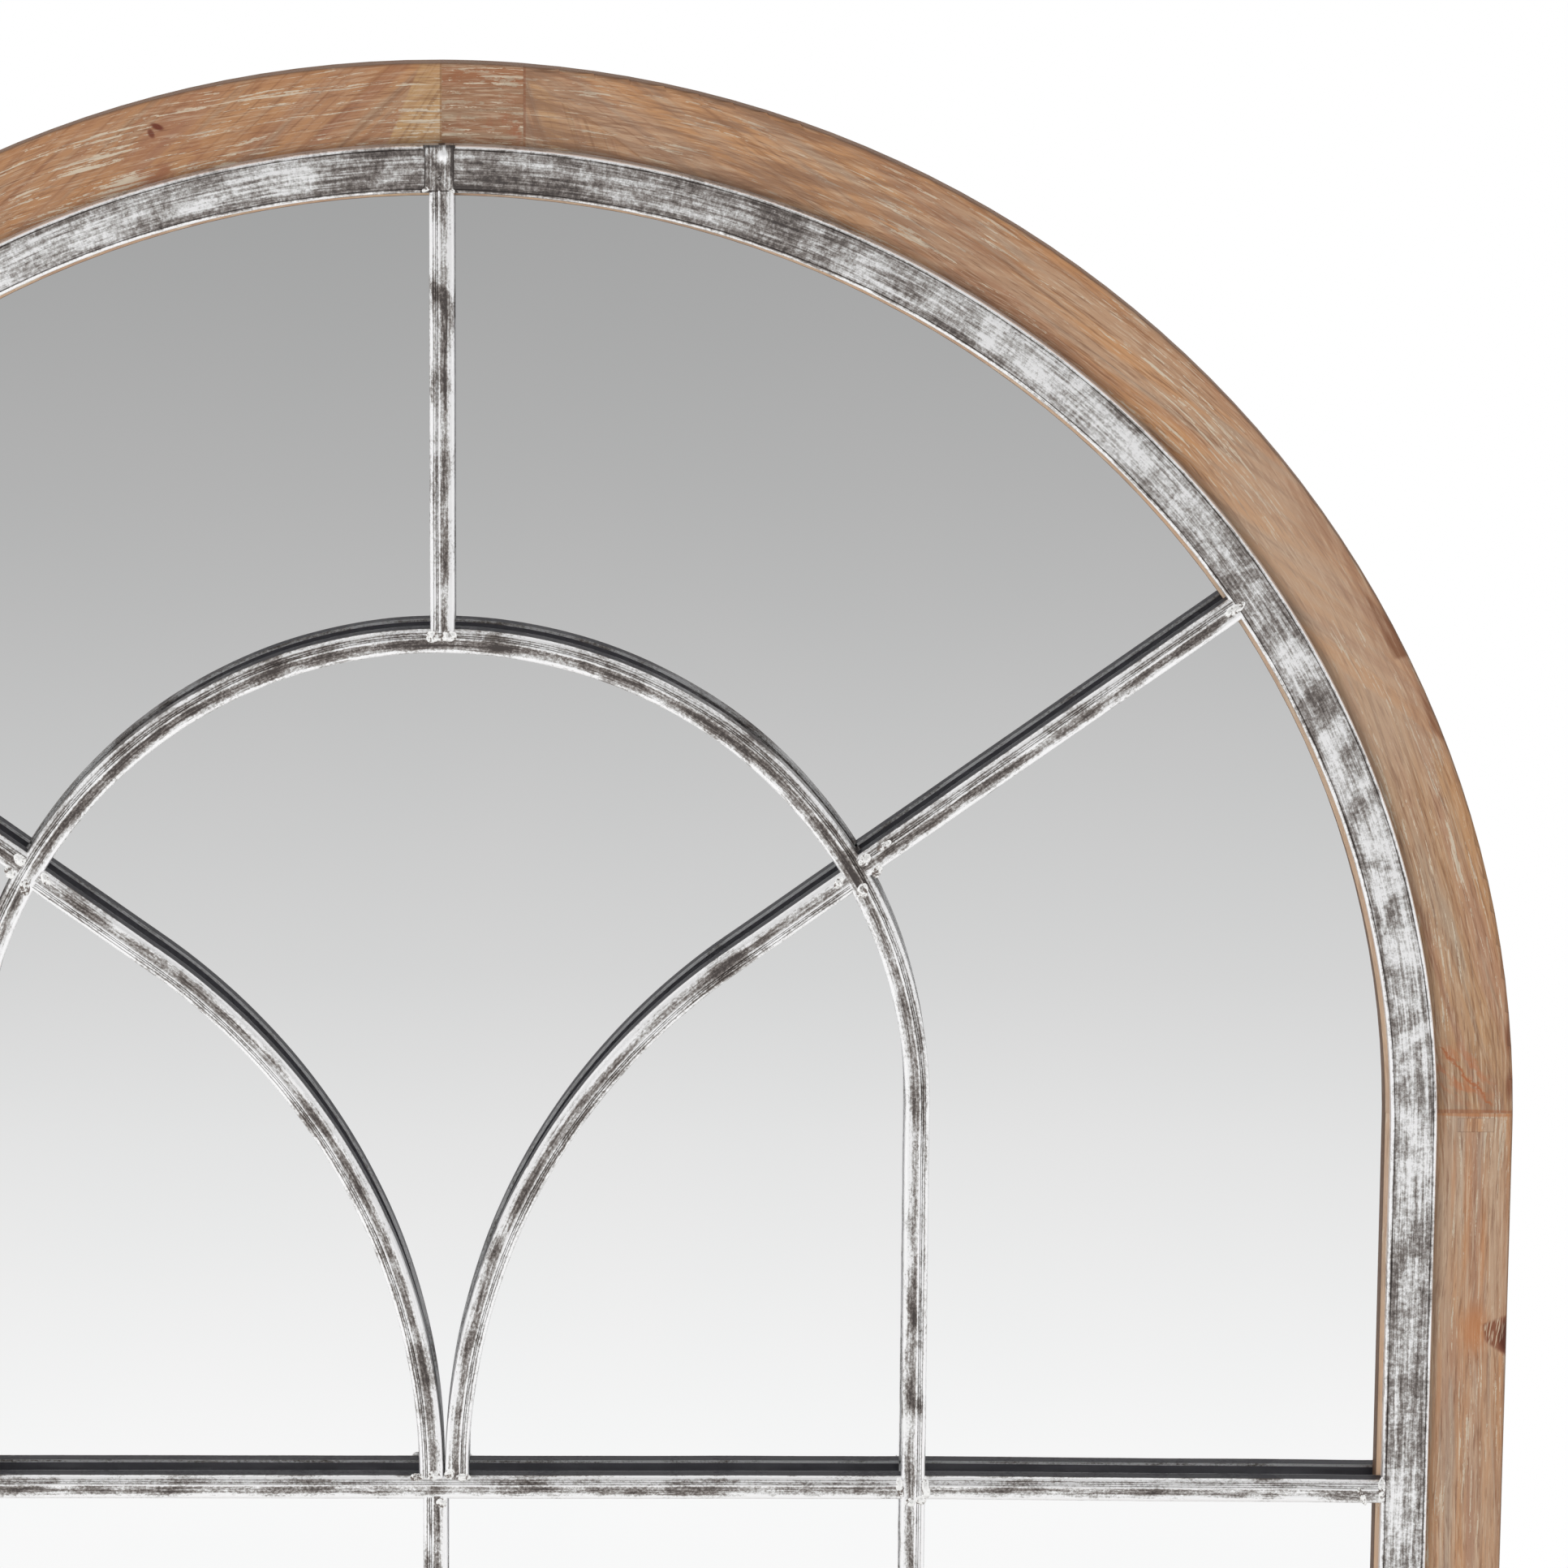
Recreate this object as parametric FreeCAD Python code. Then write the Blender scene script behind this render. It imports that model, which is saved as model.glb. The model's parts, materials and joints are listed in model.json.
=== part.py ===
import FreeCAD, Part
import os
from math import asin, cos, degrees, radians, sin, sqrt

# Arched window mirror. A wood frame with a round head carries a metal window
# grille made of open-backed channel, which stands in front of one sheet of
# mirror glass. Lengths are in millimetres. X is to the right, Z is up, and the
# front faces -Y. The origin is the middle of the frame's bottom edge, at the
# middle of the wood's thickness.

# ---- wood frame ---------------------------------------------------------------
outer_w = 965.0          # across the frame; the head is a half circle of this width
overall_h = 1448.0       # from the bottom edge to the crown
face_w = 58.0            # width of the arch, the stiles and the bottom rail
wood_t = 12.5            # thickness of the wood
edge_round = 2.0         # rounding of the outer front edge
spring_joint_up = 9.0    # the arch meets the stiles this far above the spring line
key_block_w = 35.6       # the short block to the right of the crown
joint_key_w = 16.4       # inlaid key under each spring joint
joint_key_h = 6.4
joint_key_t = 2.4
joint_key_inset = 8.6    # from the outer edge of the stile to the key
joint_key_drop = 2.5     # from the joint down to the key
dowel_r = 3.0
dowel_len = 28.0
dowel_gap = 0.1          # round the dowel in its hole
dowel_inset = 13.5       # the outer dowel's axis from the frame's outer edge
dowel_pitch = 26.0       # between the two dowels of a joint

# ---- glass and back -----------------------------------------------------------
lip_t = 7.6              # wood in front of the glass
rebate_w = 8.0           # how far the rebate reaches behind the lip
glass_t = 4.0
glass_gap = 1.0          # between the glass and the rebate's wall
board_t = 9.0
board_inset = 12.0       # from the frame's outer edge to the backing board
screw_r = 1.75           # wood screws of the board and the hangers
screw_len = 16.0
screw_head_r = 3.5
screw_head_t = 2.2
screw_gap = 0.05         # round every screw in its hole
board_screw_inset = 25.0   # board screws: from the frame's outer edge
board_arch_screws = 6      # evenly round the arch
board_stile_screws = 3     # evenly up each stile
board_screw_low = 125.0    # the lowest of those, above the bottom edge
board_screw_drop = 330.0   # the highest, below the spring line
board_rail_screws = 3
board_rail_x = 240.0       # the outer ones along the rail, from the middle

# ---- metal grille -------------------------------------------------------------
metal_t = 1.2            # wall of the channel
metal_d = 8.5            # depth of the channel, front to back
corner_r = 1.5           # outer corner of the channel
ring_w = 21.0            # the wide channel that follows the frame
ring_inset = 35.0        # from the frame's outer edge to the ring
ring_seam_x = 5.0        # the ring's halves meet just right of the crown
bar_w = 11.0             # every other bar of the grille
arch_r = 213.0           # inner arch, to the middle of the bar
arch_up = 13.5           # its centre above the spring line
crossbar_drop = 166.0    # crossbar below the spring line
crossbar_sag = 1.6       # the right length ends this much lower
centre_bar_shift = -4.0  # the lower centre bar stands a little to the left
diagonal_deg = 35.7      # slope of the straight diagonals
diagonal_lift = 2.0      # they meet the arch this far above the tracery bars
tracery_r = 296.5        # bend of the tracery bars, to the middle of the bar
tracery_gap = 0.6        # between the two where they come down side by side

# ---- fixing of the grille -----------------------------------------------------
lug_l = 14.0             # threaded lug inside the ring's channel, along the ring
lug_w = 12.0
lug_shift = 2.5          # the lugs sit this far outside the ring's middle line
bolt_r = 2.0
bolt_grip = 5.5          # thread inside the lug
bolt_head_r = 3.8
bolt_head_t = 2.6
washer_r = 4.2
washer_t = 0.8
bore_gap = 0.4           # round the washer in its counterbore, and round the bolt
tip_gap = 0.5            # left in front of the bolt's tip
arch_lugs = 4            # evenly round the arch
stile_lugs = 3           # evenly up each side
lug_low = 210.0          # the lowest of those, above the bottom edge
lug_drop = 190.0         # the highest, below the spring line
rail_lugs = 2
lug_rail_x = 160.0       # along the rail, from the middle

# ---- weld beads ---------------------------------------------------------------
bead_r = 5.0             # at the bars' ends
bead_big_r = 7.5         # where the diagonals cross the inner arch
bead_h = 0.9
bead_round = 0.7         # rounding of a bead's edge

# ---- hangers and bumpers ------------------------------------------------------
hanger_inset = 32.0      # from the frame's outer edge to the strap's middle
hanger_drop = 75.0       # the eye's axis below the spring line
strap_w = 14.0
strap_l = 52.0
strap_t = 1.5
strap_end = 10.0         # lower screw to the end of the strap
strap_pitch = 18.0       # between the strap's two screws
wire_r = 1.5             # D-ring wire
eye_gap = 0.3            # round the wire in the rolled eye
ring_bar = 9.0           # half of the D-ring's straight bar
ring_corner = 4.0        # bend at each end of that bar
bumper_r = 7.0
bumper_round = 2.0
bumper_inset = 40.0      # from the frame's corner to the bumper

# ---- places worked out from the sizes -------------------------------------------
half_w = outer_w / 2
spring_z = overall_h - half_w
wood_front = -wood_t / 2
wood_back = wood_t / 2
glass_front = wood_front + lip_t
metal_front = wood_front - metal_d
board_back = wood_back + board_t
ring_r = half_w - ring_inset - ring_w / 2         # middle line of the ring
ring_in = ring_r - ring_w / 2
ring_low = ring_inset + ring_w / 2
arch_z = spring_z + arch_up
cross_z = spring_z - crossbar_drop
rung_z = (cross_z + ring_inset + ring_w) / 2
joint_z = spring_z + spring_joint_up
rebate_inset = face_w - rebate_w
hanger_x = half_w - hanger_inset
hanger_z = spring_z - hanger_drop
eye_r = wire_r + eye_gap + strap_t                # outside of the rolled eye
eye_y = board_back + eye_r
reach = 2.0              # how far a cutting solid runs past what it cuts
merge = 0.5              # how far two solids run into each other before they are joined


def vec(x, y, z):
    return FreeCAD.Vector(x, y, z)


def save(shape, node):
    """Write one node; a group of solids stays a compound."""
    shape.exportStep("parts/" + node + ".step")
    print(node, "solids", len(shape.Solids), "volume", round(shape.Volume, 1))


def mirrored(shape):
    """The same piece on the other side, with its faces turned the right way."""
    return shape.mirror(vec(0, 0, 0), vec(1, 0, 0))


def box(x0, x1, y0, y1, z0, z1):
    return Part.makeBox(x1 - x0, y1 - y0, z1 - z0, vec(x0, y0, z0))


def prism(points, y0, y1):
    """Solid with straight sides between two depths, from corners (x, z)."""
    corners = [vec(x, y0, z) for x, z in points]
    return Part.Face(Part.makePolygon(corners + corners[:1])).extrude(vec(0, y1 - y0, 0))


def arched(r, low, spring, y0, y1):
    """Plate with straight sides and a half-round head, between two depths."""
    a, b, c, d = vec(-r, y0, low), vec(r, y0, low), vec(r, y0, spring), vec(-r, y0, spring)
    head = Part.Arc(c, vec(0, y0, spring + r), d).toShape()
    edges = [Part.LineSegment(a, b).toShape(), Part.LineSegment(b, c).toShape(), head,
             Part.LineSegment(d, a).toShape()]
    return Part.Face(Part.Wire(edges)).extrude(vec(0, y1 - y0, 0))


def inset_plate(inset, y0, y1):
    """The frame's own outline, moved inwards by inset."""
    return arched(half_w - inset, inset, spring_z, y0, y1)


def rod_along(point, direction, radius, length):
    return Part.makeCylinder(radius, length, point, direction)


# ---- channel ----------------------------------------------------------------------
def channel_face(at, across, width):
    """Cross-section of the open-backed channel, square to its run."""
    h, t, r = width / 2, metal_t, corner_r
    k = r * (1 - cos(radians(45)))

    def p(u, y):
        return vec(at.x + across.x * u, y, at.z + across.z * u)

    def line(a, b):
        return Part.LineSegment(a, b).toShape()

    corner_a = Part.Arc(p(-h, metal_front + r), p(-h + k, metal_front + k), p(-h + r, metal_front))
    corner_b = Part.Arc(p(h - r, metal_front), p(h - k, metal_front + k), p(h, metal_front + r))
    edges = [
        line(p(-h, wood_front), p(-h, metal_front + r)), corner_a.toShape(),
        line(p(-h + r, metal_front), p(h - r, metal_front)), corner_b.toShape(),
        line(p(h, metal_front + r), p(h, wood_front)),
        line(p(h, wood_front), p(h - t, wood_front)),
        line(p(h - t, wood_front), p(h - t, metal_front + t)),
        line(p(h - t, metal_front + t), p(-h + t, metal_front + t)),
        line(p(-h + t, metal_front + t), p(-h + t, wood_front)),
        line(p(-h + t, wood_front), p(-h, wood_front)),
    ]
    return Part.Face(Part.Wire(edges))


def straight(start, end, width):
    """Channel between two points (x, z)."""
    a, b = vec(start[0], 0, start[1]), vec(end[0], 0, end[1])
    run = b - a
    across = vec(-run.z, 0, run.x)
    across.normalize()
    return channel_face(a, across, width).extrude(run)


def bend(centre, radius, start, sweep, width):
    """Channel bent round a centre (x, z); angles in degrees, from +X towards +Z."""
    out = vec(cos(radians(start)), 0, sin(radians(start)))
    middle = vec(centre[0], 0, centre[1])
    face = channel_face(middle + out * radius, out, width)
    return face.revolve(middle, vec(0, -1, 0), sweep)


def envelope(start, end, width):
    """Space that a straight bar fills, for fitting other bars against it."""
    run_x, run_z = end[0] - start[0], end[1] - start[1]
    long = sqrt(run_x ** 2 + run_z ** 2)
    nx, nz = -run_z / long * width / 2, run_x / long * width / 2
    corners = [(start[0] + nx, start[1] + nz), (end[0] + nx, end[1] + nz),
               (end[0] - nx, end[1] - nz), (start[0] - nx, start[1] - nz)]
    return prism(corners, metal_front - reach, wood_front + reach)


def joined(*shapes):
    whole = shapes[0]
    for other in shapes[1:]:
        whole = whole.fuse(other)
    return whole.removeSplitter()


# ---- wood frame ---------------------------------------------------------------------
def frame_blank():
    """The whole wood frame before it is parted at its joints."""
    blank = inset_plate(0, wood_front, wood_back)
    front_edges = [e for e in blank.Edges if abs(e.BoundBox.YMax - wood_front) < 1e-6]
    blank = blank.makeFillet(edge_round, front_edges)
    blank = blank.cut(inset_plate(face_w, wood_front - reach, wood_back + reach))
    return blank.cut(inset_plate(rebate_inset, glass_front, wood_back + reach))


def dowel_seats():
    """Start points and directions of all dowels, two to a joint."""
    seats = []
    for side in (-1, 1):
        for step in (0, dowel_pitch):
            x = side * (half_w - dowel_inset - step)
            seats.append((vec(x, 0, joint_z - dowel_len / 2), vec(0, 0, 1)))
            x_joint = side * (half_w - face_w)
            z = dowel_inset + step
            seats.append((vec(x_joint - dowel_len / 2, 0, z), vec(1, 0, 0)))
    for x_joint in (0, key_block_w):
        for step in (0, dowel_pitch):
            z = spring_z + half_w - dowel_inset - step
            seats.append((vec(x_joint - dowel_len / 2, 0, z), vec(1, 0, 0)))
    return seats


def joint_key(side, gap=0.0):
    """Inlaid key in the face of a stile, under its spring joint."""
    x_out = half_w - joint_key_inset
    z_top = joint_z - joint_key_drop
    x0, x1 = sorted((side * x_out, side * (x_out - joint_key_w)))
    return box(x0, x1, wood_front - gap, wood_front + joint_key_t, z_top - joint_key_h, z_top)


# ---- screws -------------------------------------------------------------------------
def wood_screw(x, z, seat_y, gap=0.0):
    """Countersunk screw driven from behind; its head is flush with seat_y."""
    tip = vec(x, seat_y - screw_len, z)
    shank = rod_along(tip, vec(0, 1, 0), screw_r + gap, screw_len - screw_head_t + merge)
    head = Part.makeCone(screw_r + gap, screw_head_r + gap, screw_head_t,
                         vec(x, seat_y - screw_head_t, z), vec(0, 1, 0))
    return joined(shank, head)


def spread(first, last, count):
    return [first + (last - first) * k / (count - 1) for k in range(count)]


def around_frame(inset, on_arch, heights, along_rail):
    """Points (x, z) at one inset: on the arch, up both stiles, along the rail."""
    r = half_w - inset
    angles = [180 * (k + 0.5) / on_arch for k in range(on_arch)]
    points = [(r * cos(radians(a)), spring_z + r * sin(radians(a))) for a in angles]
    points += [(side * r, z) for side in (-1, 1) for z in heights]
    return points + [(x, inset) for x in along_rail]


board_screw_places = around_frame(
    board_screw_inset, board_arch_screws,
    spread(board_screw_low, spring_z - board_screw_drop, board_stile_screws),
    spread(-board_rail_x, board_rail_x, board_rail_screws))
lug_inset = half_w - ring_r - lug_shift
lug_places = around_frame(
    lug_inset, arch_lugs, spread(lug_low, spring_z - lug_drop, stile_lugs),
    spread(-lug_rail_x, lug_rail_x, rail_lugs))
strap_screw_drops = (strap_l - strap_end - strap_pitch, strap_l - strap_end)
strap_screw_places = [(side * hanger_x, hanger_z - drop) for side in (-1, 1)
                      for drop in strap_screw_drops]


def lug(x, z):
    """Threaded lug, turned to follow the ring, seated on the channel's inside."""
    y0 = metal_front + metal_t
    block = box(-lug_l / 2, lug_l / 2, y0, wood_front, -lug_w / 2, lug_w / 2)
    if z > spring_z:
        turn = degrees(asin(x / (half_w - lug_inset)))
    elif z > ring_inset + ring_w:
        turn = 90.0                                # on a side, above the ring's corner
    else:
        turn = 0.0
    block.rotate(vec(0, 0, 0), vec(0, 1, 0), turn)
    block.translate(vec(x, 0, z))
    hole = rod_along(vec(x, wood_front - bolt_grip - tip_gap, z), vec(0, 1, 0),
                     bolt_r + screw_gap, bolt_grip + reach)
    return block.cut(hole)


bolt_seat = wood_back - bolt_head_t - washer_t    # floor of the counterbore


def lug_bolt(x, z):
    shank = rod_along(vec(x, wood_front - bolt_grip, z), vec(0, 1, 0), bolt_r,
                      bolt_seat + washer_t - wood_front + bolt_grip + merge)
    head = rod_along(vec(x, bolt_seat + washer_t, z), vec(0, 1, 0), bolt_head_r, bolt_head_t)
    return joined(shank, head)


def lug_washer(x, z):
    disc = rod_along(vec(x, bolt_seat, z), vec(0, 1, 0), washer_r, washer_t)
    return disc.cut(rod_along(vec(x, bolt_seat - reach, z), vec(0, 1, 0), bolt_r + bore_gap / 2,
                              washer_t + 2 * reach))


def lug_bore(x, z):
    hole = rod_along(vec(x, wood_front - reach, z), vec(0, 1, 0), bolt_r + bore_gap,
                     wood_t + 2 * reach)
    seat = rod_along(vec(x, bolt_seat, z), vec(0, 1, 0), washer_r + bore_gap, wood_t)
    return joined(hole, seat)


# ---- build the wood -------------------------------------------------------------------
os.makedirs("parts", exist_ok=True)

frame = frame_blank()
dowels = [rod_along(at, way, dowel_r, dowel_len) for at, way in dowel_seats()]
drills = [rod_along(at - way * dowel_gap, way, dowel_r + dowel_gap, dowel_len + 2 * dowel_gap)
          for at, way in dowel_seats()]
drills += [lug_bore(x, z) for x, z in lug_places]
drills += [wood_screw(x, z, board_back, screw_gap) for x, z in board_screw_places]
drills += [wood_screw(x, z, board_back + strap_t, screw_gap) for x, z in strap_screw_places]
drills += [joint_key(side, reach) for side in (-1, 1)]
frame = frame.cut(Part.makeCompound(drills))

y0, y1 = wood_front - reach, wood_back + reach
far = half_w + reach
top = overall_h + reach
rail_end = half_w - face_w
save(frame.common(box(-far, 0, y0, y1, joint_z, top)), "arch_wood_left")
save(frame.common(box(0, key_block_w, y0, y1, joint_z, top)), "arch_wood_key")
save(frame.common(box(key_block_w, far, y0, y1, joint_z, top)), "arch_wood_right")
rail_space = box(-rail_end, rail_end, y0, y1, -reach, face_w)
save(frame.common(box(-far, 0, y0, y1, -reach, joint_z)).cut(rail_space), "stile_left")
save(frame.common(box(0, far, y0, y1, -reach, joint_z)).cut(rail_space), "stile_right")
save(frame.common(rail_space), "bottom_rail")
save(Part.makeCompound(dowels), "joint_dowels")
save(Part.makeCompound([joint_key(-1), joint_key(1)]), "spring_joint_keys")

# ---- build the ring -------------------------------------------------------------------
seam_deg = 90 - degrees(asin(ring_seam_x / ring_r))
corner_low = ring_low - ring_w / 2
corner_high = ring_low + ring_w / 2
corner_out = ring_r + ring_w / 2


def mitre_waste(side, upper):
    """Half of the corner square, above or below the mitre line."""
    third = (side * corner_out, corner_high) if upper else (side * ring_in, corner_low)
    corners = [(side * corner_out, corner_low), (side * ring_in, corner_high), third]
    return prism(corners, metal_front - reach, wood_front + reach)


right_head = bend((0, spring_z), ring_r, 0, seam_deg, ring_w)
right_leg = straight((ring_r, corner_low), (ring_r, spring_z), ring_w)
save(joined(right_head, right_leg).cut(mitre_waste(1, False)), "ring_right")
left_head = bend((0, spring_z), ring_r, seam_deg, 180 - seam_deg, ring_w)
left_leg = straight((-ring_r, corner_low), (-ring_r, spring_z), ring_w)
save(joined(left_head, left_leg).cut(mitre_waste(-1, False)), "ring_left")
ring_bottom = straight((-corner_out, ring_low), (corner_out, ring_low), ring_w)
save(ring_bottom.cut(mitre_waste(-1, True)).cut(mitre_waste(1, True)), "ring_bottom")

save(Part.makeCompound([lug(x, z) for x, z in lug_places]), "ring_fixing_lugs")
save(Part.makeCompound([lug_bolt(x, z) for x, z in lug_places]), "ring_fixing_screws")
save(Part.makeCompound([lug_washer(x, z) for x, z in lug_places]), "ring_fixing_washers")

# ---- build the bars of the grille -------------------------------------------------------
# A bar is made too long and trimmed by the outline of the bars that it meets.
metal_y = (metal_front - reach, wood_front + reach)
inside_ring = arched(ring_in, corner_high, spring_z, *metal_y)
arch_outline = arched(arch_r + bar_w / 2, corner_high - reach, arch_z, *metal_y)
inside_arch = arched(arch_r - bar_w / 2, corner_high - reach, arch_z, *metal_y)

arch_head = bend((0, arch_z), arch_r, 0, 180, bar_w)
arch_legs = [straight((side * arch_r, corner_high), (side * arch_r, arch_z), bar_w)
             for side in (-1, 1)]
save(joined(arch_head, *arch_legs), "inner_arch")

top_bar = straight((0, arch_z + arch_r - bar_w), (0, spring_z + ring_r), bar_w)
save(top_bar.common(inside_ring).cut(arch_outline), "top_bar")

# The tracery bar rises from the crossbar, bends outwards and runs straight on.
foot_x = (bar_w + tracery_gap) / 2
foot_z = cross_z + bar_w / 2
bend_centre = (foot_x + tracery_r, foot_z)
turn = 90 - diagonal_deg
bend_end = (bend_centre[0] - tracery_r * cos(radians(turn)), foot_z + tracery_r * sin(radians(turn)))
way = (cos(radians(diagonal_deg)), sin(radians(diagonal_deg)))
tracery_bend = bend(bend_centre, tracery_r, 180 - turn, turn, bar_w)
tracery_run = straight(bend_end, (bend_end[0] + way[0] * arch_r, bend_end[1] + way[1] * arch_r), bar_w)
tracery = joined(tracery_bend, tracery_run).common(inside_arch)
save(tracery, "tracery_right")
save(mirrored(tracery), "tracery_left")

# The diagonal carries the same slope on to the ring, a little higher.
lift = (-way[1] * diagonal_lift, way[0] * diagonal_lift)
start = (bend_end[0] + lift[0], bend_end[1] + lift[1])
finish = (start[0] + way[0] * ring_r, start[1] + way[1] * ring_r)
diagonal = straight(start, finish, bar_w).common(inside_ring).cut(arch_outline)
save(diagonal, "diagonal_right")
save(mirrored(diagonal), "diagonal_left")

crossbar_centre = straight((-arch_r, cross_z), (arch_r, cross_z), bar_w)
save(crossbar_centre.common(inside_arch), "crossbar_centre")
crossbar_left = straight((-ring_r, cross_z), (0, cross_z), bar_w)
save(crossbar_left.common(inside_ring).cut(arch_outline), "crossbar_left")
crossbar_right = straight((0, cross_z + crossbar_sag * arch_r / (ring_r - arch_r)),
                          (ring_r, cross_z - crossbar_sag), bar_w)
save(crossbar_right.common(inside_ring).cut(arch_outline), "crossbar_right")

centre_top = cross_z - bar_w / 2
centre_line = ((centre_bar_shift, corner_high), (centre_bar_shift, centre_top))
save(straight(centre_line[0], centre_line[1], bar_w), "lower_centre_bar")
centre_space = envelope((centre_bar_shift, corner_high - reach), (centre_bar_shift, centre_top), bar_w)

rung = straight((-ring_r, rung_z), (ring_r, rung_z), bar_w)
outer_rungs = rung.common(inside_ring).cut(arch_outline)
inner_rungs = rung.common(inside_arch).cut(centre_space)
for name, pair in (("rung_outer", outer_rungs), ("rung_inner", inner_rungs)):
    left, right = sorted(pair.Solids, key=lambda s: s.CenterOfMass.x)
    save(left, name + "_left")
    save(right, name + "_right")

# ---- weld beads, seated on the front of the bars -----------------------------------------
def bead(x, z, radius):
    """Low round bead with a soft edge; its flat side sits on the bars' faces."""
    blank = rod_along(vec(x, metal_front, z), vec(0, -1, 0), radius, bead_h)
    top_y = metal_front - bead_h
    return blank.makeFillet(bead_round, [e for e in blank.Edges if e.BoundBox.YMax < top_y + 1e-6])


def meets_ring(x, z):
    """Where a diagonal that starts at (x, z) reaches the ring's inner edge."""
    b = x * way[0] + (z - spring_z) * way[1]
    c = x ** 2 + (z - spring_z) ** 2 - ring_in ** 2
    t = -b + sqrt(b ** 2 - c)
    return x + way[0] * t, z + way[1] * t


def meets_arch(x, z):
    """Where the same line crosses the middle of the inner arch."""
    b = x * way[0] + (z - arch_z) * way[1]
    c = x ** 2 + (z - arch_z) ** 2 - arch_r ** 2
    t = -b + sqrt(b ** 2 - c)
    return x + way[0] * t, z + way[1] * t


ring_end = meets_ring(*start)
crossing = meets_arch(*start)
beads = [bead(0, spring_z + ring_in, bead_r), bead(0, arch_z + arch_r, bead_r),
         bead(0, foot_z, bead_r), bead(centre_bar_shift, centre_top, bead_r),
         bead(centre_bar_shift, corner_high, bead_r),
         bead(ring_seam_x, spring_z + ring_r + ring_w / 4, bead_r / 2)]
for side in (-1, 1):
    beads.append(bead(side * ring_end[0], ring_end[1], bead_r))
    beads.append(bead(side * crossing[0], crossing[1], bead_big_r))
    beads.append(bead(side * arch_r, corner_high, bead_r))
    for z in (cross_z, rung_z):
        beads.append(bead(side * (arch_r - bar_w / 2), z, bead_r))
        beads.append(bead(side * (arch_r + bar_w / 2), z, bead_r))
    beads.append(bead(side * ring_in, rung_z, bead_r))
    beads.append(bead(side * ring_in, cross_z - (crossbar_sag if side > 0 else 0), bead_r))
    beads.append(bead(centre_bar_shift + side * bar_w / 2, rung_z, bead_r))
save(Part.makeCompound(beads), "weld_beads")

# ---- glass, packing and back ---------------------------------------------------------------
glass_inset = rebate_inset + glass_gap
save(inset_plate(glass_inset, glass_front, glass_front + glass_t), "mirror_glass")
save(inset_plate(glass_inset, glass_front + glass_t, wood_back), "foam_sheet")

board = inset_plate(board_inset, wood_back, board_back)
board_drills = [wood_screw(x, z, board_back, screw_gap) for x, z in board_screw_places]
board_drills += [wood_screw(x, z, board_back + strap_t, screw_gap) for x, z in strap_screw_places]
save(board.cut(Part.makeCompound(board_drills)), "backing_board")
save(Part.makeCompound([wood_screw(x, z, board_back) for x, z in board_screw_places]), "board_screws")

# ---- hangers -------------------------------------------------------------------------------
def strap():
    """Flat strap whose upper end is rolled round the D-ring's bar."""
    plate = box(-strap_w / 2, strap_w / 2, board_back, board_back + strap_t,
                hanger_z - strap_l, hanger_z)
    eye = rod_along(vec(-strap_w / 2, eye_y, hanger_z), vec(1, 0, 0), eye_r, strap_w)
    bore = rod_along(vec(-far, eye_y, hanger_z), vec(1, 0, 0), wire_r + eye_gap, 2 * far)
    drills = [wood_screw(0, hanger_z - drop, board_back + strap_t, screw_gap)
              for drop in strap_screw_drops]
    return joined(plate, eye).cut(bore).cut(Part.makeCompound(drills))


def d_ring():
    """Bent wire: a straight bar in the eye and a round bow that hangs below it."""
    disc = Part.Face(Part.Wire(Part.Circle(vec(-ring_bar, eye_y, hanger_z), vec(1, 0, 0),
                                           wire_r).toShape()))
    bar = disc.extrude(vec(2 * ring_bar, 0, 0))
    bow_r = ring_bar + ring_corner
    z_bow = hanger_z - ring_corner
    corner = disc.copy()
    corner.translate(vec(2 * ring_bar, 0, 0))
    right = corner.revolve(vec(ring_bar, eye_y, z_bow), vec(0, 1, 0), 90)
    left = mirrored(right)
    bow_face = Part.Face(Part.Wire(Part.Circle(vec(bow_r, eye_y, z_bow), vec(0, 0, 1),
                                               wire_r).toShape()))
    bow = bow_face.revolve(vec(0, eye_y, z_bow), vec(0, 1, 0), 180)
    return joined(bar, right, left, bow)


one_strap, one_ring = strap(), d_ring()
for side, name in ((-1, "left"), (1, "right")):
    for shape, node in ((one_strap, "hanger_strap_"), (one_ring, "hanger_ring_")):
        placed = shape.copy()
        placed.translate(vec(side * hanger_x, 0, 0))
        save(placed, node + name)
strap_screws = [wood_screw(x, z, board_back + strap_t) for x, z in strap_screw_places]
save(Part.makeCompound(strap_screws), "hanger_screws")

# ---- bumpers: as tall as the hangers, so that the mirror hangs parallel to the wall ---------
bumpers = []
for side in (-1, 1):
    seat = vec(side * (half_w - bumper_inset), board_back, bumper_inset)
    blank = rod_along(seat, vec(0, 1, 0), bumper_r, 2 * eye_r)
    outer = [e for e in blank.Edges if abs(e.BoundBox.YMin - (board_back + 2 * eye_r)) < 1e-6]
    bumpers.append(blank.makeFillet(bumper_round, outer))
save(Part.makeCompound(bumpers), "wall_bumpers")

print("spring_z", spring_z, "arch_z", arch_z, "cross_z", cross_z, "rung_z", rung_z)
print("ring end", ring_end, "crossing", crossing, "eye", hanger_x, eye_y, hanger_z)
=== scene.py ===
# %% [markdown]
# # Arched window mirror
# A limewashed wood frame with a round head, a silvered metal window grille in
# front of one sheet of mirror glass, and a screwed-on backing board with two
# D-ring hangers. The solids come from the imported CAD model. This lesson gives
# each piece its finish, and rebuilds the pieces whose surface has more to show
# than the solids do.

# %% Load the fixed frame
import json
import math

import bmesh
import bpy
from mathutils import Matrix, Vector

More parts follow.
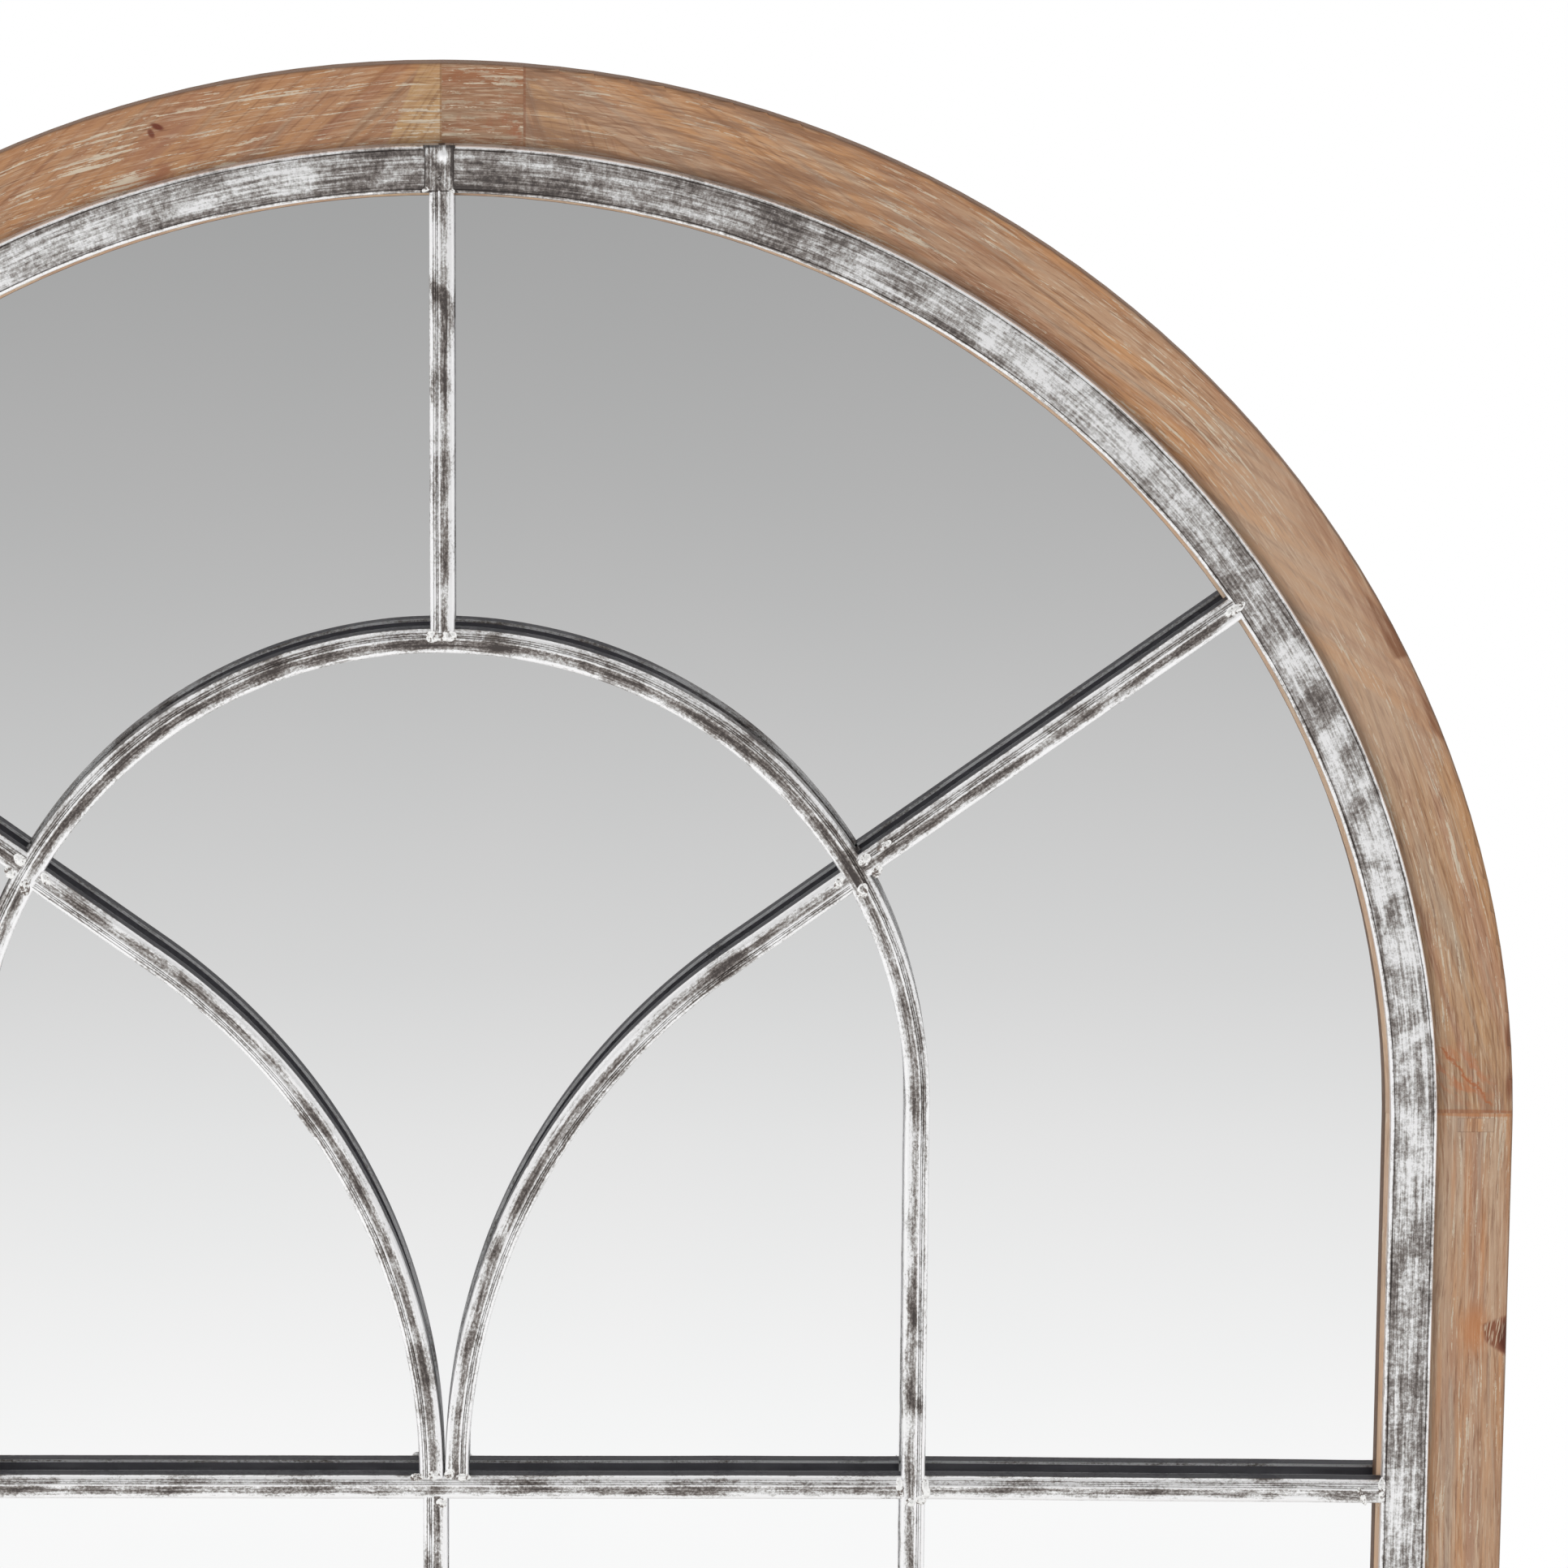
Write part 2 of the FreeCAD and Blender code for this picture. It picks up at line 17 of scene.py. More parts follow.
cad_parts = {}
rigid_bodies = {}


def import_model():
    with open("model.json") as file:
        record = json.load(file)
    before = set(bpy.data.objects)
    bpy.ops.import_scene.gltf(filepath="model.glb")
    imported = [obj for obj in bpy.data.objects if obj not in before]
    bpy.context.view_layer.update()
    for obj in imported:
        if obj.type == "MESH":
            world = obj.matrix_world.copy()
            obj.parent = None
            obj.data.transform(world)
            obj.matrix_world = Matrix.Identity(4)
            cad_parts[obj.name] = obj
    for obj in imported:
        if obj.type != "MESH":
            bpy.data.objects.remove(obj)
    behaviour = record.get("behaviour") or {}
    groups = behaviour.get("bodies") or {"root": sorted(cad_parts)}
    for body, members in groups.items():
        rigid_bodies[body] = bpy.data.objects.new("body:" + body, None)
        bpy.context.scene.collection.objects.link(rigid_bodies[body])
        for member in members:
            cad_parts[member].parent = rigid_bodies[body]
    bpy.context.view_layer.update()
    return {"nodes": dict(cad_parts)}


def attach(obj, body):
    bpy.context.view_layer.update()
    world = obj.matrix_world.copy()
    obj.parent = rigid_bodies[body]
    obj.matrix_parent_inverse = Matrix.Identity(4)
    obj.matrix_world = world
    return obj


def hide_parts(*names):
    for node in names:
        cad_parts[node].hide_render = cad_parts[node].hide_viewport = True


for left_over in list(bpy.data.objects):
    bpy.data.objects.remove(left_over)
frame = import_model()

# %% [markdown]
# ## The sizes that the finish follows
# The CAD model is in metres and so is Blender, but a maker thinks of a mirror
# in millimetres. These are the same driving sizes as in the part's source, so
# that a new skin over a bar lies exactly where the bar is.

# %% Sizes in millimetres
MM = 0.001
half_w, overall_h, wood_t = 482.5, 1448.0, 12.5
spring_z = overall_h - half_w
wood_front, wood_back = -wood_t / 2, wood_t / 2
metal_d, metal_t = 8.5, 1.2
metal_front = wood_front - metal_d
ring_w, ring_r, ring_low = 21.0, 437.0, 45.5
ring_in, corner_high = ring_r - ring_w / 2, ring_low + ring_w / 2
bar_w, arch_r, arch_z = 11.0, 213.0, spring_z + 13.5
arch_in, arch_out = arch_r - bar_w / 2, arch_r + bar_w / 2
cross_z, cross_sag = spring_z - 166.0, 1.6
rung_z = (cross_z + corner_high) / 2
centre_x = -4.0
board_back = wood_back + 9.0
key_block_w = 35.6
print("spring line", spring_z, "crossbar", cross_z, "lower rungs", rung_z)


def at(x, z, y=0.0):
    """A point given in millimetres, in metres."""
    return Vector((x * MM, y * MM, z * MM))


def linked(thing):
    bpy.context.scene.collection.objects.link(thing)
    return thing


# %% [markdown]
# ## Camera
# The photograph looks down a little at the top half of the mirror through a
# long lens. The camera stands seven half-widths away, which keeps the edges
# of the arch nearly parallel, and it is rolled by half a degree.

# %% Camera
def look_from(place, yaw_deg, pitch_deg, roll_deg, focal_px, image_px):
    yaw, pitch, roll = (math.radians(v) for v in (yaw_deg, pitch_deg, roll_deg))
    level = math.cos(pitch)
    ahead = Vector((math.sin(yaw) * level, math.cos(yaw) * level, -math.sin(pitch)))
    right = Vector((math.cos(yaw), -math.sin(yaw), 0))
    up = right.cross(ahead)
    right, up = (right * math.cos(roll) + up * math.sin(roll),
                 up * math.cos(roll) - right * math.sin(roll))
    lens = bpy.data.cameras.new("camera")
    lens.sensor_width = 36.0
    lens.lens = focal_px / image_px * lens.sensor_width
    lens.clip_start, lens.clip_end = 0.1, 60.0
    camera = linked(bpy.data.objects.new("camera", lens))
    turn = Matrix((right, up, -ahead)).transposed()
    camera.matrix_world = Matrix.Translation(place) @ turn.to_4x4()
    bpy.context.scene.camera = camera
    return camera


camera = look_from(at(77.6, 1891.4, -3365.8), 1.268, 12.834, 0.458, 9518.0, 1932)
print("lens", round(camera.data.lens, 1), "mm")

# %% [markdown]
# ## Building node trees
# Every finish is a small tree of nodes, and so is every shape that Geometry
# Nodes grow. What comes out of a node is a signal here. Signals can be added
# and multiplied like numbers, and sent on into another node, so that a recipe
# reads from top to bottom.

# %% Signals
def put(tree, kind, inputs=None, **settings):
    """Puts a node down, sets it up, and plugs numbers or signals into it."""
    made = tree.nodes.new(kind)
    for name, value in settings.items():
        setattr(made, name, value)
    for name, value in (inputs or {}).items():
        if isinstance(value, Signal):
            tree.links.new(value.socket, made.inputs[name])
        else:
            made.inputs[name].default_value = value
    return made


def signal(tree, kind, inputs=None, output=0, **settings):
    return Signal(put(tree, kind, inputs, **settings).outputs[output])


class Signal:
    """What comes out of a node."""

    def __init__(self, socket):
        self.socket = socket
        self.tree = socket.id_data

    def into(self, kind, inputs=None, output=0, **settings):
        """Sends this signal into the first input of a new node."""
        return signal(self.tree, kind, {0: self, **(inputs or {})}, output, **settings)

    def calc(self, operation, other=0.0, third=0.0, clamp=False):
        return self.into("ShaderNodeMath", {1: other, 2: third}, operation=operation, use_clamp=clamp)

    def __add__(self, other):
        return self.calc("ADD", other)

    def __sub__(self, other):
        return self.calc("SUBTRACT", other)

    def __rsub__(self, other):
        return self.into("ShaderNodeMath", {0: other, 1: self}, operation="SUBTRACT")

    def __mul__(self, other):
        return self.calc("MULTIPLY", other)

    __rmul__ = __mul__

    def __abs__(self):
        return self.calc("ABSOLUTE")

    def vector(self, operation, inputs=None, output=0):
        return self.into("ShaderNodeVectorMath", inputs, output, operation=operation)

    def length(self):
        return self.vector("LENGTH", output="Value")

    def split(self):
        return [Signal(part) for part in put(self.tree, "ShaderNodeSeparateXYZ", {0: self}).outputs]

    def mask(self, low, high, at_low=0.0, at_high=1.0):
        """at_low below low and at_high above high, with a soft step between them."""
        ends = {"From Min": low, "From Max": high, "To Min": at_low, "To Max": at_high}
        return self.into("ShaderNodeMapRange", ends, interpolation_type="SMOOTHSTEP")

    def mask_mm(self, low, high, at_low=0.0, at_high=1.0):
        return self.mask(low * MM, high * MM, at_low, at_high)

    def between_mm(self, low, high, soft):
        """1 from low to high, and 0 outside."""
        return self.mask_mm(low - soft, low + soft) * self.mask_mm(high - soft, high + soft, 1, 0)

    def noise(self, detail=2.0, rough=0.5, swirl=0.0):
        inputs = {"Scale": 1.0, "Detail": detail, "Roughness": rough, "Distortion": swirl}
        return self.into("ShaderNodeTexNoise", inputs, "Fac")

    def cloud(self, scale, detail=2.0, rough=0.5, swirl=0.0, shift=0.0):
        """Noise with its own scale, in turns per metre, for each direction."""
        scale = scale if isinstance(scale, tuple) else (scale,) * 3
        place = (shift, shift * 0.7, shift * 0.3)
        return self.into("ShaderNodeMapping", {"Scale": scale, "Location": place}).noise(detail, rough, swirl)

    def pick(self, low, high):
        """The low colour where this signal is 0 and the high one where it is 1."""
        return self.into("ShaderNodeMix", {6: low, 7: high}, 2, data_type="RGBA")

    def coats(self, *layers):
        """This colour, painted over with each (amount, shade) in turn."""
        colour = self
        for amount, shade in layers:
            colour = amount.pick(colour, tone(*shade))
        return colour

    def shades(self, steps):
        """A colour ramp through (place, colour) steps, in order."""
        ramp = put(self.tree, "ShaderNodeValToRGB", {0: self})
        stops = ramp.color_ramp.elements
        stops[0].position, stops[1].position = steps[0][0], steps[-1][0]
        for step in steps[1:-1]:
            stops.new(step[0])
        for stop in stops:
            stop.color = min(steps, key=lambda step: abs(step[0] - stop.position))[1]
        return Signal(ramp.outputs[0])


def tone(red, green, blue):
    """A colour as it looks on screen, 0 to 255, as the light value that nodes use."""
    def light(v):
        v /= 255
        return v / 12.92 if v <= 0.04045 else ((v + 0.055) / 1.055) ** 2.4
    return (light(red), light(green), light(blue), 1.0)


def join(tree, *parts):
    return signal(tree, "ShaderNodeCombineXYZ", dict(enumerate(parts)))


def weigh(middle, *parts):
    """Adds patterns that swing round 0.5, each with its own weight."""
    value = middle - 0.5 * sum(weight for pattern, weight in parts)
    for pattern, weight in parts:
        value = pattern.calc("MULTIPLY_ADD", weight, value)
    return value


# %% Materials
def new_finish(name):
    """An empty material, and the piece's own coordinates in it."""
    finish = bpy.data.materials.new(name)
    finish.use_nodes = True
    finish.node_tree.nodes.clear()
    return finish, signal(finish.node_tree, "ShaderNodeTexCoord", output="Object")


def close_finish(colour, roughness, metallic=0.0, height=None, bump_mm=0.1, bump=0.5, **fixed):
    """The shader itself. Values that are the same everywhere go straight on its sockets."""
    inputs = {"Base Color": colour, "Roughness": roughness, "Metallic": metallic}
    inputs.update({name.replace("_", " "): value for name, value in fixed.items()})
    if height is not None:
        relief = {"Height": height, "Strength": bump, "Distance": bump_mm * MM}
        inputs["Normal"] = signal(colour.tree, "ShaderNodeBump", relief)
    shader = signal(colour.tree, "ShaderNodeBsdfPrincipled", inputs)
    put(colour.tree, "ShaderNodeOutputMaterial", {"Surface": shader})


def clouded_finish(name, scale, detail, dark, light, rough, bump_mm, spread=0.2):
    """Two shades that drift into each other, over a slightly uneven surface."""
    finish, place = new_finish(name)
    cloud = place.cloud(scale, detail)
    colour = cloud.mask(0.5 - spread, 0.5 + spread).pick(tone(*dark), tone(*light))
    close_finish(colour, rough, height=cloud, bump_mm=bump_mm)
    return finish


# %% [markdown]
# ## Studio light
# The photograph is evenly lit from the front, with hardly any light from
# above: the top side of the arch is its darkest line. The mirror shows a
# backdrop that runs from mid grey, straight ahead, to near white, further
# down. The world does all three jobs: white for the camera, the graded
# backdrop for reflections, and a plain soft light for everything else.

# %% World
WHITE, WARM_WHITE = (1, 1, 1, 1), (1.0, 0.985, 0.97, 1)
AMBIENT = 0.62
BACKDROP = (  # (how far down a reflected ray points, grey)
    (0.10, 0.30), (0.147, 0.385), (0.164, 0.42), (0.185, 0.47), (0.199, 0.515),
    (0.226, 0.62), (0.246, 0.70), (0.266, 0.81), (0.287, 0.90), (0.310, 0.99))


def build_world():
    world = bpy.data.worlds.new("studio")
    bpy.context.scene.world = world
    world.use_nodes = True
    tree = world.node_tree
    tree.nodes.clear()
    _, forward, upward = signal(tree, "ShaderNodeTexCoord", output="Generated").split()
    graded = (upward * -1.0).shades([(place, (grey, grey, grey, 1)) for place, grey in BACKDROP])
    backdrop = (forward * -1).mask(0.75, 0.93, 1, 0).pick(graded, WHITE)
    soft, shown, white = (signal(tree, "ShaderNodeBackground", {0: colour, 1: strength})
                          for colour, strength in ((WARM_WHITE, AMBIENT), (backdrop, 1.0), (WHITE, 1.0)))
    rays = {ray.name: Signal(ray) for ray in put(tree, "ShaderNodeLightPath").outputs}
    lit = rays["Is Glossy Ray"].into("ShaderNodeMixShader", {1: soft, 2: shown})
    seen = rays["Is Camera Ray"].calc("MAXIMUM", rays["Is Transmission Ray"])
    put(tree, "ShaderNodeOutputWorld", {0: seen.into("ShaderNodeMixShader", {1: lit, 2: white})})


build_world()


# %% Softboxes and floor
def softbox(name, place, aim, size, watts):
    lamp = bpy.data.lights.new(name, "AREA")
    lamp.shape, lamp.size, lamp.energy = "SQUARE", size, watts
    holder = linked(bpy.data.objects.new(name, lamp))
    holder.location = place
    holder.rotation_mode = "QUATERNION"
    holder.rotation_quaternion = (aim - place).to_track_quat("-Z", "Y")
    holder.visible_glossy = False


softbox("front_box", at(-700, 1000, -2600), at(0, 950, 0), 1.6, 34)
softbox("back_fill", at(900, 1700, 2600), at(0, 800, 0), 1.8, 24)


def mesh_from(bm, name):
    mesh = bpy.data.meshes.new(name)
    bm.to_mesh(mesh)
    bm.free()
    return mesh


def build_floor(radius=1.7, steps=96):
    """A pale disc that fades out towards its rim."""
    bm = bmesh.new()
    bmesh.ops.create_circle(bm, cap_ends=True, segments=steps, radius=radius)
    floor = linked(bpy.data.objects.new("floor", mesh_from(bm, "floor")))
    finish, place = new_finish("pale_floor")
    tint = place.cloud(3).mask(0.3, 0.7).pick(tone(240, 240, 239), tone(246, 246, 245))
    pale = signal(tint.tree, "ShaderNodeBsdfPrincipled", {"Base Color": tint, "Roughness": 0.9})
    clear = signal(tint.tree, "ShaderNodeBsdfTransparent")
    fade = place.length().mask(radius * 0.62, radius * 0.98)
    faded = fade.into("ShaderNodeMixShader", {1: pale, 2: clear})
    put(tint.tree, "ShaderNodeOutputMaterial", {"Surface": faded})
    floor.data.materials.append(finish)
    floor.location.z = -0.5 * MM  # just under the foot of the mirror


build_floor()

# %% [markdown]
# ## Limewashed wood
# The frame is a warm, close-grained hardwood that was brushed, limewashed and
# wiped, so that short pale dashes stay in its pores. The grain follows each
# member: round the head it runs with the arc, up the stiles it runs straight
# up. The shader works that out from the object's own coordinates: along the
# grain, across it, and through the board. A few marks of the real board, such
# as its knots, are placed one by one.

# %% Grain coordinates
HEAD_MIDDLE = 0.453  # radius of the head's middle line, in metres


def grain_space(place, member):
    """(along, across, through) in metres for a head, stile or rail member."""
    x, y, z = place.split()
    if member == "head":
        up = z - spring_z * MM
        along, across = x.calc("ARCTAN2", up) * HEAD_MIDDLE, join(place.tree, x, up, 0.0).length()
    elif member == "stile":
        along, across = z, abs(x)
    else:
        along, across = x, half_w * MM - z
    return join(place.tree, along, across, y), along, across


def turned(place, x, z, size_x, size_z, rising_deg=0.0):
    """Coordinates round a place on the face (mm), turned to rise to the right, in units of the given sizes."""
    fit = {"Location": (x * MM, 0, (spring_z + z) * MM), "Rotation": (0, -math.radians(rising_deg), 0),
           "Scale": (size_x * MM, 10.0, size_z * MM)}
    return place.into("ShaderNodeMapping", fit, vector_type="TEXTURE")


def spot(place, *oval):
    """0 in the middle of an oval spot and 1 on its edge."""
    return turned(place, *oval).length()


# %% The board and its limewash
def figure(place, rising_deg, seed, colours):
    """The sawn board: broad growth bands that run straight, whatever way the member bends."""
    base, warm, pink, grey = (tone(*c) for c in colours)

    def bands(long, wide, shift, detail):
        return turned(place, shift * 31, shift * 17, long, wide, rising_deg).noise(detail, 0.55, 0.35)

    colour = bands(210, 14, seed, 3).mask(0.41, 0.59).pick(base, warm)
    colour = bands(150, 11, seed + 2, 3).mask(0.46, 0.68, 0, 0.85).pick(colour, pink)
    colour = bands(90, 5, seed + 4, 4).mask(0.5, 0.68, 0, 0.75).pick(colour, grey)
    return colour.coats((bands(120, 2.2, seed + 6, 4).mask(0.32, 0.5, 0.46, 0), (118, 80, 58)))


def limewash(space, seed, amount, long_mm=17.0, wide_mm=0.72):
    """Pale paste left in the brushed pores: ragged dashes that gather in patches, and fine streaks."""
    dash = space.cloud((1000 / long_mm / 1.7, 1000 / wide_mm / 1.7, 220), 3, 0.66, 0.15, seed)
    ragged = space.cloud((500, 1100, 300), 2, 0.7, shift=seed + 2)
    gather = space.cloud((17, 64, 30), 3, 0.6, shift=seed + 3)
    paste = weigh(0.5, (dash, 1), (ragged, 0.22), (gather, 0.55))
    fine = space.cloud((75, 1250, 500), 3, 0.68, shift=seed + 5)
    return paste.mask(0.645 - 0.055 * amount, 0.672 - 0.055 * amount, 0, 0.92), fine


# %% The wood finish
def wood_finish(name, member, seed, rising_deg, colours, lime, boards=None, marks=None):
    """boards(place, colour) lays in other boards. marks(place, along, across) gives layers of single marks."""
    finish, place = new_finish(name)
    space, along, across = grain_space(place, member)
    sway = space.cloud((7, 16, 14), 2, shift=seed)
    space = space.vector("ADD", {1: join(place.tree, 0.0, (sway - 0.5) * 0.014)})
    limed, fine = limewash(space, seed + 9, lime)
    pores = space.cloud((60, 1050, 300), 3, 0.68, shift=seed + 12)
    facing = signal(place.tree, "ShaderNodeTexCoord", output="Normal").split()[1]
    colour = figure(place, rising_deg, seed, colours)
    if boards:
        colour = boards(place, colour)
    colour = colour.coats(
        (limed, (203, 190, 170)),
        (fine.mask(0.51, 0.64, 0, 0.5 - 0.14 * lime), (204, 182, 158)),
        (pores.mask(0.3, 0.5, 0.6, 0), (116, 80, 60)),
        (across.mask_mm(472, 481.8, 0, 0.24), (170, 118, 78)),  # the sanded outer edge
        *(marks(place, along, across) if marks else ()),
        # painted shade on the wood beside the ring, where the ring's shadow falls
        (across.mask_mm(447.5, 453, 0.26, 0) * across.mask_mm(436, 440), (96, 72, 56)),  # beside the ring
        # the lip is painted lighter: painted light against the shade it sits in under the ring
        (across.mask_mm(428, 432, 0.45, 0), (206, 184, 162)),  # the lip
        # painted shade: a dark line on the lip's inner side, in shadow against the glass
        (across.mask_mm(424.55, 424.75, 0.75, 0), (60, 46, 38)),  # the lip's inner side
        # painted shade: sides and back are painted darker by the way they face, as little light falls on them
        (facing.mask(-0.95, -0.25, 0, 0.75), (112, 84, 66)))  # sides and back
    height = fine.calc("MULTIPLY_ADD", 0.5, pores * 0.8)
    close_finish(colour, limed.mask(0, 0.6, 0.6, 0.78), height=height, bump_mm=0.14, Specular_IOR_Level=0.18)
    return finish


# %% Tools for marks
def ovals(place, shade, strength, inner, outer, *places):
    """Soft ovals of one shade, each at (x, z, half width, half height, rising degrees)."""
    return [(spot(place, *oval).mask(inner, outer, strength, 0), shade) for oval in places]


def patch(place, soft_mm, *corners):
    """A straight-sided patch, 1 inside; its (x, z) corners run clockwise, in millimetres."""
    sides = []
    for (x0, z0), (x1, z1) in zip(corners, corners[1:] + corners[:1]):
        off = turned(place, x0, z0, 1, 1, math.degrees(math.atan2(z1 - z0, x1 - x0))).split()[2]
        sides.append(off.mask(-soft_mm, soft_mm, 1, 0))
    return math.prod(sides)


# %% Marks of the left head and the key block
def left_head_boards(place, colour):
    """A yellow offcut ends the left board, next to the crown joint."""
    beside = turned(place, -16.4, 465, 10, 10, -22).split()[0]
    yellow = figure(place, 58, 77, ((182, 148, 108), (186, 150, 108), (176, 142, 104), (178, 146, 112)))
    return beside.mask(-0.04, 0.06).pick(colour, yellow)


def left_head_marks(place, along, across):
    bruise = turned(place, 0, 0, 16, 7, 48).noise(3, 0.6).mask(0.4, 0.62)
    near = spot(place, -121, 432, 30, 12, 50).mask(0.2, 1.2, 0.6, 0)
    ruddy = turned(place, 7, 3, 34, 4.5, 40).noise(4, 0.62, 0.4).mask(0.52, 0.66, 0, 0.55)
    return [(bruise * near, (140, 88, 68)),
            (ruddy * across.mask_mm(425, 470, 1, 0.45), (132, 86, 64)),
            *ovals(place, (104, 54, 42), 0.95, 0.5, 1.2, (-124.3, 454, 3.4, 1.5, -22)),
            *ovals(place, (104, 54, 42), 0.85, 0.5, 1.2, (-127, 451, 1.5, 2.5, 30)),
            *ovals(place, (126, 90, 66), 0.55, 0.4, 1, (-0.4, 466, 0.7, 60))]


def key_marks(place, along, across):
    blush = turned(place, 0, 0, 9, 16).noise(3, 0.6)
    wash = place.cloud((120, 120, 420), 4, 0.65, shift=5)
    return [(blush.mask(0.55, 0.75, 0, 0.6), (152, 92, 66)), (wash.mask(0.53, 0.62, 0, 0.6), (176, 162, 142))]


# %% Marks of the right head
def right_head_boards(place, colour):
    """Below a slanting glue line the right side goes on in a lighter, steeper board."""
    below = turned(place, 440, 184, 10, 10, -36).split()[2]
    pale = figure(place, -72, 51, ((180, 148, 120), (184, 146, 110), (172, 134, 110), (168, 148, 128)))
    return below.mask(-0.05, 0.05, 1, 0).pick(colour, pale)


def right_head_marks(place, along, across):
    crown_side = along.mask_mm(120, 330, 1, 0) * along.mask_mm(0, 30)
    crown_streaks = turned(place, 0, 0, 60, 5, -14).noise(4, 0.65, 0.5)
    rosy = along.mask_mm(360, 410, 0, 0.38) * along.mask_mm(520, 560, 1, 0)
    ray = turned(place, 0, 0, 26, 1.8, -62).noise(3, 0.6)
    edge_band = across.mask_mm(464, 480) * along.mask_mm(360, 440, 0, 0.5) * along.mask_mm(535, 550, 1, 0)
    wedges = (patch(place, 1.2, (408, 250), (434, 221), (423.5, 218)),
              patch(place, 1.2, (433.5, 208), (453, 174.5), (440.5, 186.5)))
    near_foot = along.mask_mm(648, 690)
    fibres = turned(place, 0, 0, 1.5, 42, 4).noise(3, 0.62)
    rust = turned(place, 0, 0, 9, 4, -48).noise(3, 0.6).mask(0.45, 0.62)
    wobble = place.cloud(170, 4, 0.65).calc("MULTIPLY_ADD", 9, -4.5)
    run, _, off = turned(place, 460.5, 26.2, 19.5, 1, -48).split()
    tear = abs(off + wobble).mask(0.3, 0.9, 0.75, 0) * abs(run).mask(0.85, 1, 1, 0)
    # painted shade: near the crown the board is streaked darker towards the top; the paler streaks are the board's
    # own
    return [(crown_side * crown_streaks.mask(0.38, 0.6, 0.75, 0.05), (132, 100, 80)),
            (crown_side * crown_streaks.mask(0.55, 0.68, 0, 0.5), (190, 164, 138)),
            (rosy, (188, 166, 146)),
            (edge_band * ray.mask(0.36, 0.6), (140, 96, 70)),
            *[(wedge * ray.mask(0.25, 0.6, 0.45, 0.85), (122, 82, 60)) for wedge in wedges],
            (near_foot * fibres.mask(0.36, 0.6, 0.62, 0), (126, 98, 80)),
            (near_foot * fibres.mask(0.51, 0.64, 0, 0.62), (198, 180, 160)),
            (spot(place, 459, 27, 20, 13, -48).mask(0.3, 1.2, 0.6, 0) * rust, (178, 110, 72)),
            (tear, (164, 98, 62)),
            *ovals(place, (122, 72, 50), 0.7, 0.3, 1.3, (480.5, 22, 2.2, 7.5), (479, 44, 1.6, 9, 3),
                   (481.0, 70, 1.4, 10.0, 5)),
            *ovals(place, (134, 84, 60), 0.5, 0.4, 1.1, (key_block_w + 0.5, 466, 0.8, 60)),
            *ovals(place, (150, 92, 60), 0.55, 0.4, 1, (465, 9.6, 40, 1.5, -1))]


# %% Marks of the right stile
def stile_marks(place, along, across):
    fibres = turned(place, 0, 0, 1.3, 55, 1).noise(3, 0.62)
    knot = patch(place, 1, (471.4, -90.4), (485, -85), (485, -107), (472.8, -98.6))
    cells = turned(place, 0, 0, 3, 6).noise(3, 0.7).mask(0.3, 0.5, 0.75, 0.95)
    core = spot(place, 483, -96, 5, 9.5).mask(0.6, 1.1, 0.9, 0)
    lines = turned(place, 0, 0, 0.75, 11, -6).noise(2, 0.5).mask(0.5, 0.57, 0, 0.85)
    return [*ovals(place, (176, 116, 72), 0.6, 0.4, 1, (465, 8.2, 40, 1.3, -1)),
            *ovals(place, (188, 130, 84), 0.45, 0.2, 1.2, (463, -30, 2.2, 42), (456.5, -20, 1.5, 26),
                   (470.5, -60, 1.6, 30), (452.0, -120, 1.6, 40)),
            (fibres.mask(0.34, 0.5, 0.34, 0), (142, 112, 92)),
            (fibres.mask(0.54, 0.68, 0, 0.45), (206, 186, 164)),
            *ovals(place, (186, 122, 74), 0.6, 0.2, 1.2, (467.5, -93, 8, 15)),
            (knot * cells, (128, 80, 60)), (knot * core, (84, 44, 34)),
            (lines * knot * across.mask_mm(478.5, 481.5, 1, 0.25), (196, 174, 150))]


# %% A finish for each wood piece
# (plain wood, warm bands, pink bands, grey bands)
# The left head and key colours are darker than the others: partly their own boards, partly painted shade towards
# the top of the frame.
LEFT_COLOURS = ((170, 130, 100), (177, 133, 96), (150, 106, 84), (160, 136, 114))
KEY_COLOURS = ((154, 118, 92), (150, 106, 80), (142, 100, 78), (158, 136, 114))
RIGHT_COLOURS = ((182, 148, 120), (190, 144, 104), (164, 124, 98), (168, 146, 126))
STILE_COLOURS = ((184, 156, 132), (186, 144, 110), (166, 130, 108), (170, 152, 136))
WOOD = {node: wood_finish("limewashed_" + name, *recipe) for node, name, *recipe in (
    ("arch_wood_left", "head_left", "head", 1.0, 44, LEFT_COLOURS, 1.0, left_head_boards, left_head_marks),
    ("arch_wood_key", "key", "head", 7.0, 0, KEY_COLOURS, 0.45, None, key_marks),
    ("arch_wood_right", "head_right", "head", 13.0, -37, RIGHT_COLOURS, 0.35, right_head_boards,
     right_head_marks),
    ("stile_left", "stile_left", "stile", 19.0, 88, STILE_COLOURS, 0.45),
    ("stile_right", "stile_right", "stile", 25.0, 91, STILE_COLOURS, 0.45, None, stile_marks),
    ("bottom_rail", "rail", "rail", 31.0, 1, STILE_COLOURS, 0.5),
    ("spring_joint_keys", "joint_keys", "stile", 37.0, 90, STILE_COLOURS, 0.3),
)}
print("wood finishes:", len(WOOD))

# %% [markdown]
# ## The wood members
# The solids already have the right shape, down to the rebate and the screw
# holes. A real joint shows because each member's arrises are broken with
# sandpaper before glue-up, so each member gets a clean copy with a fine bevel.

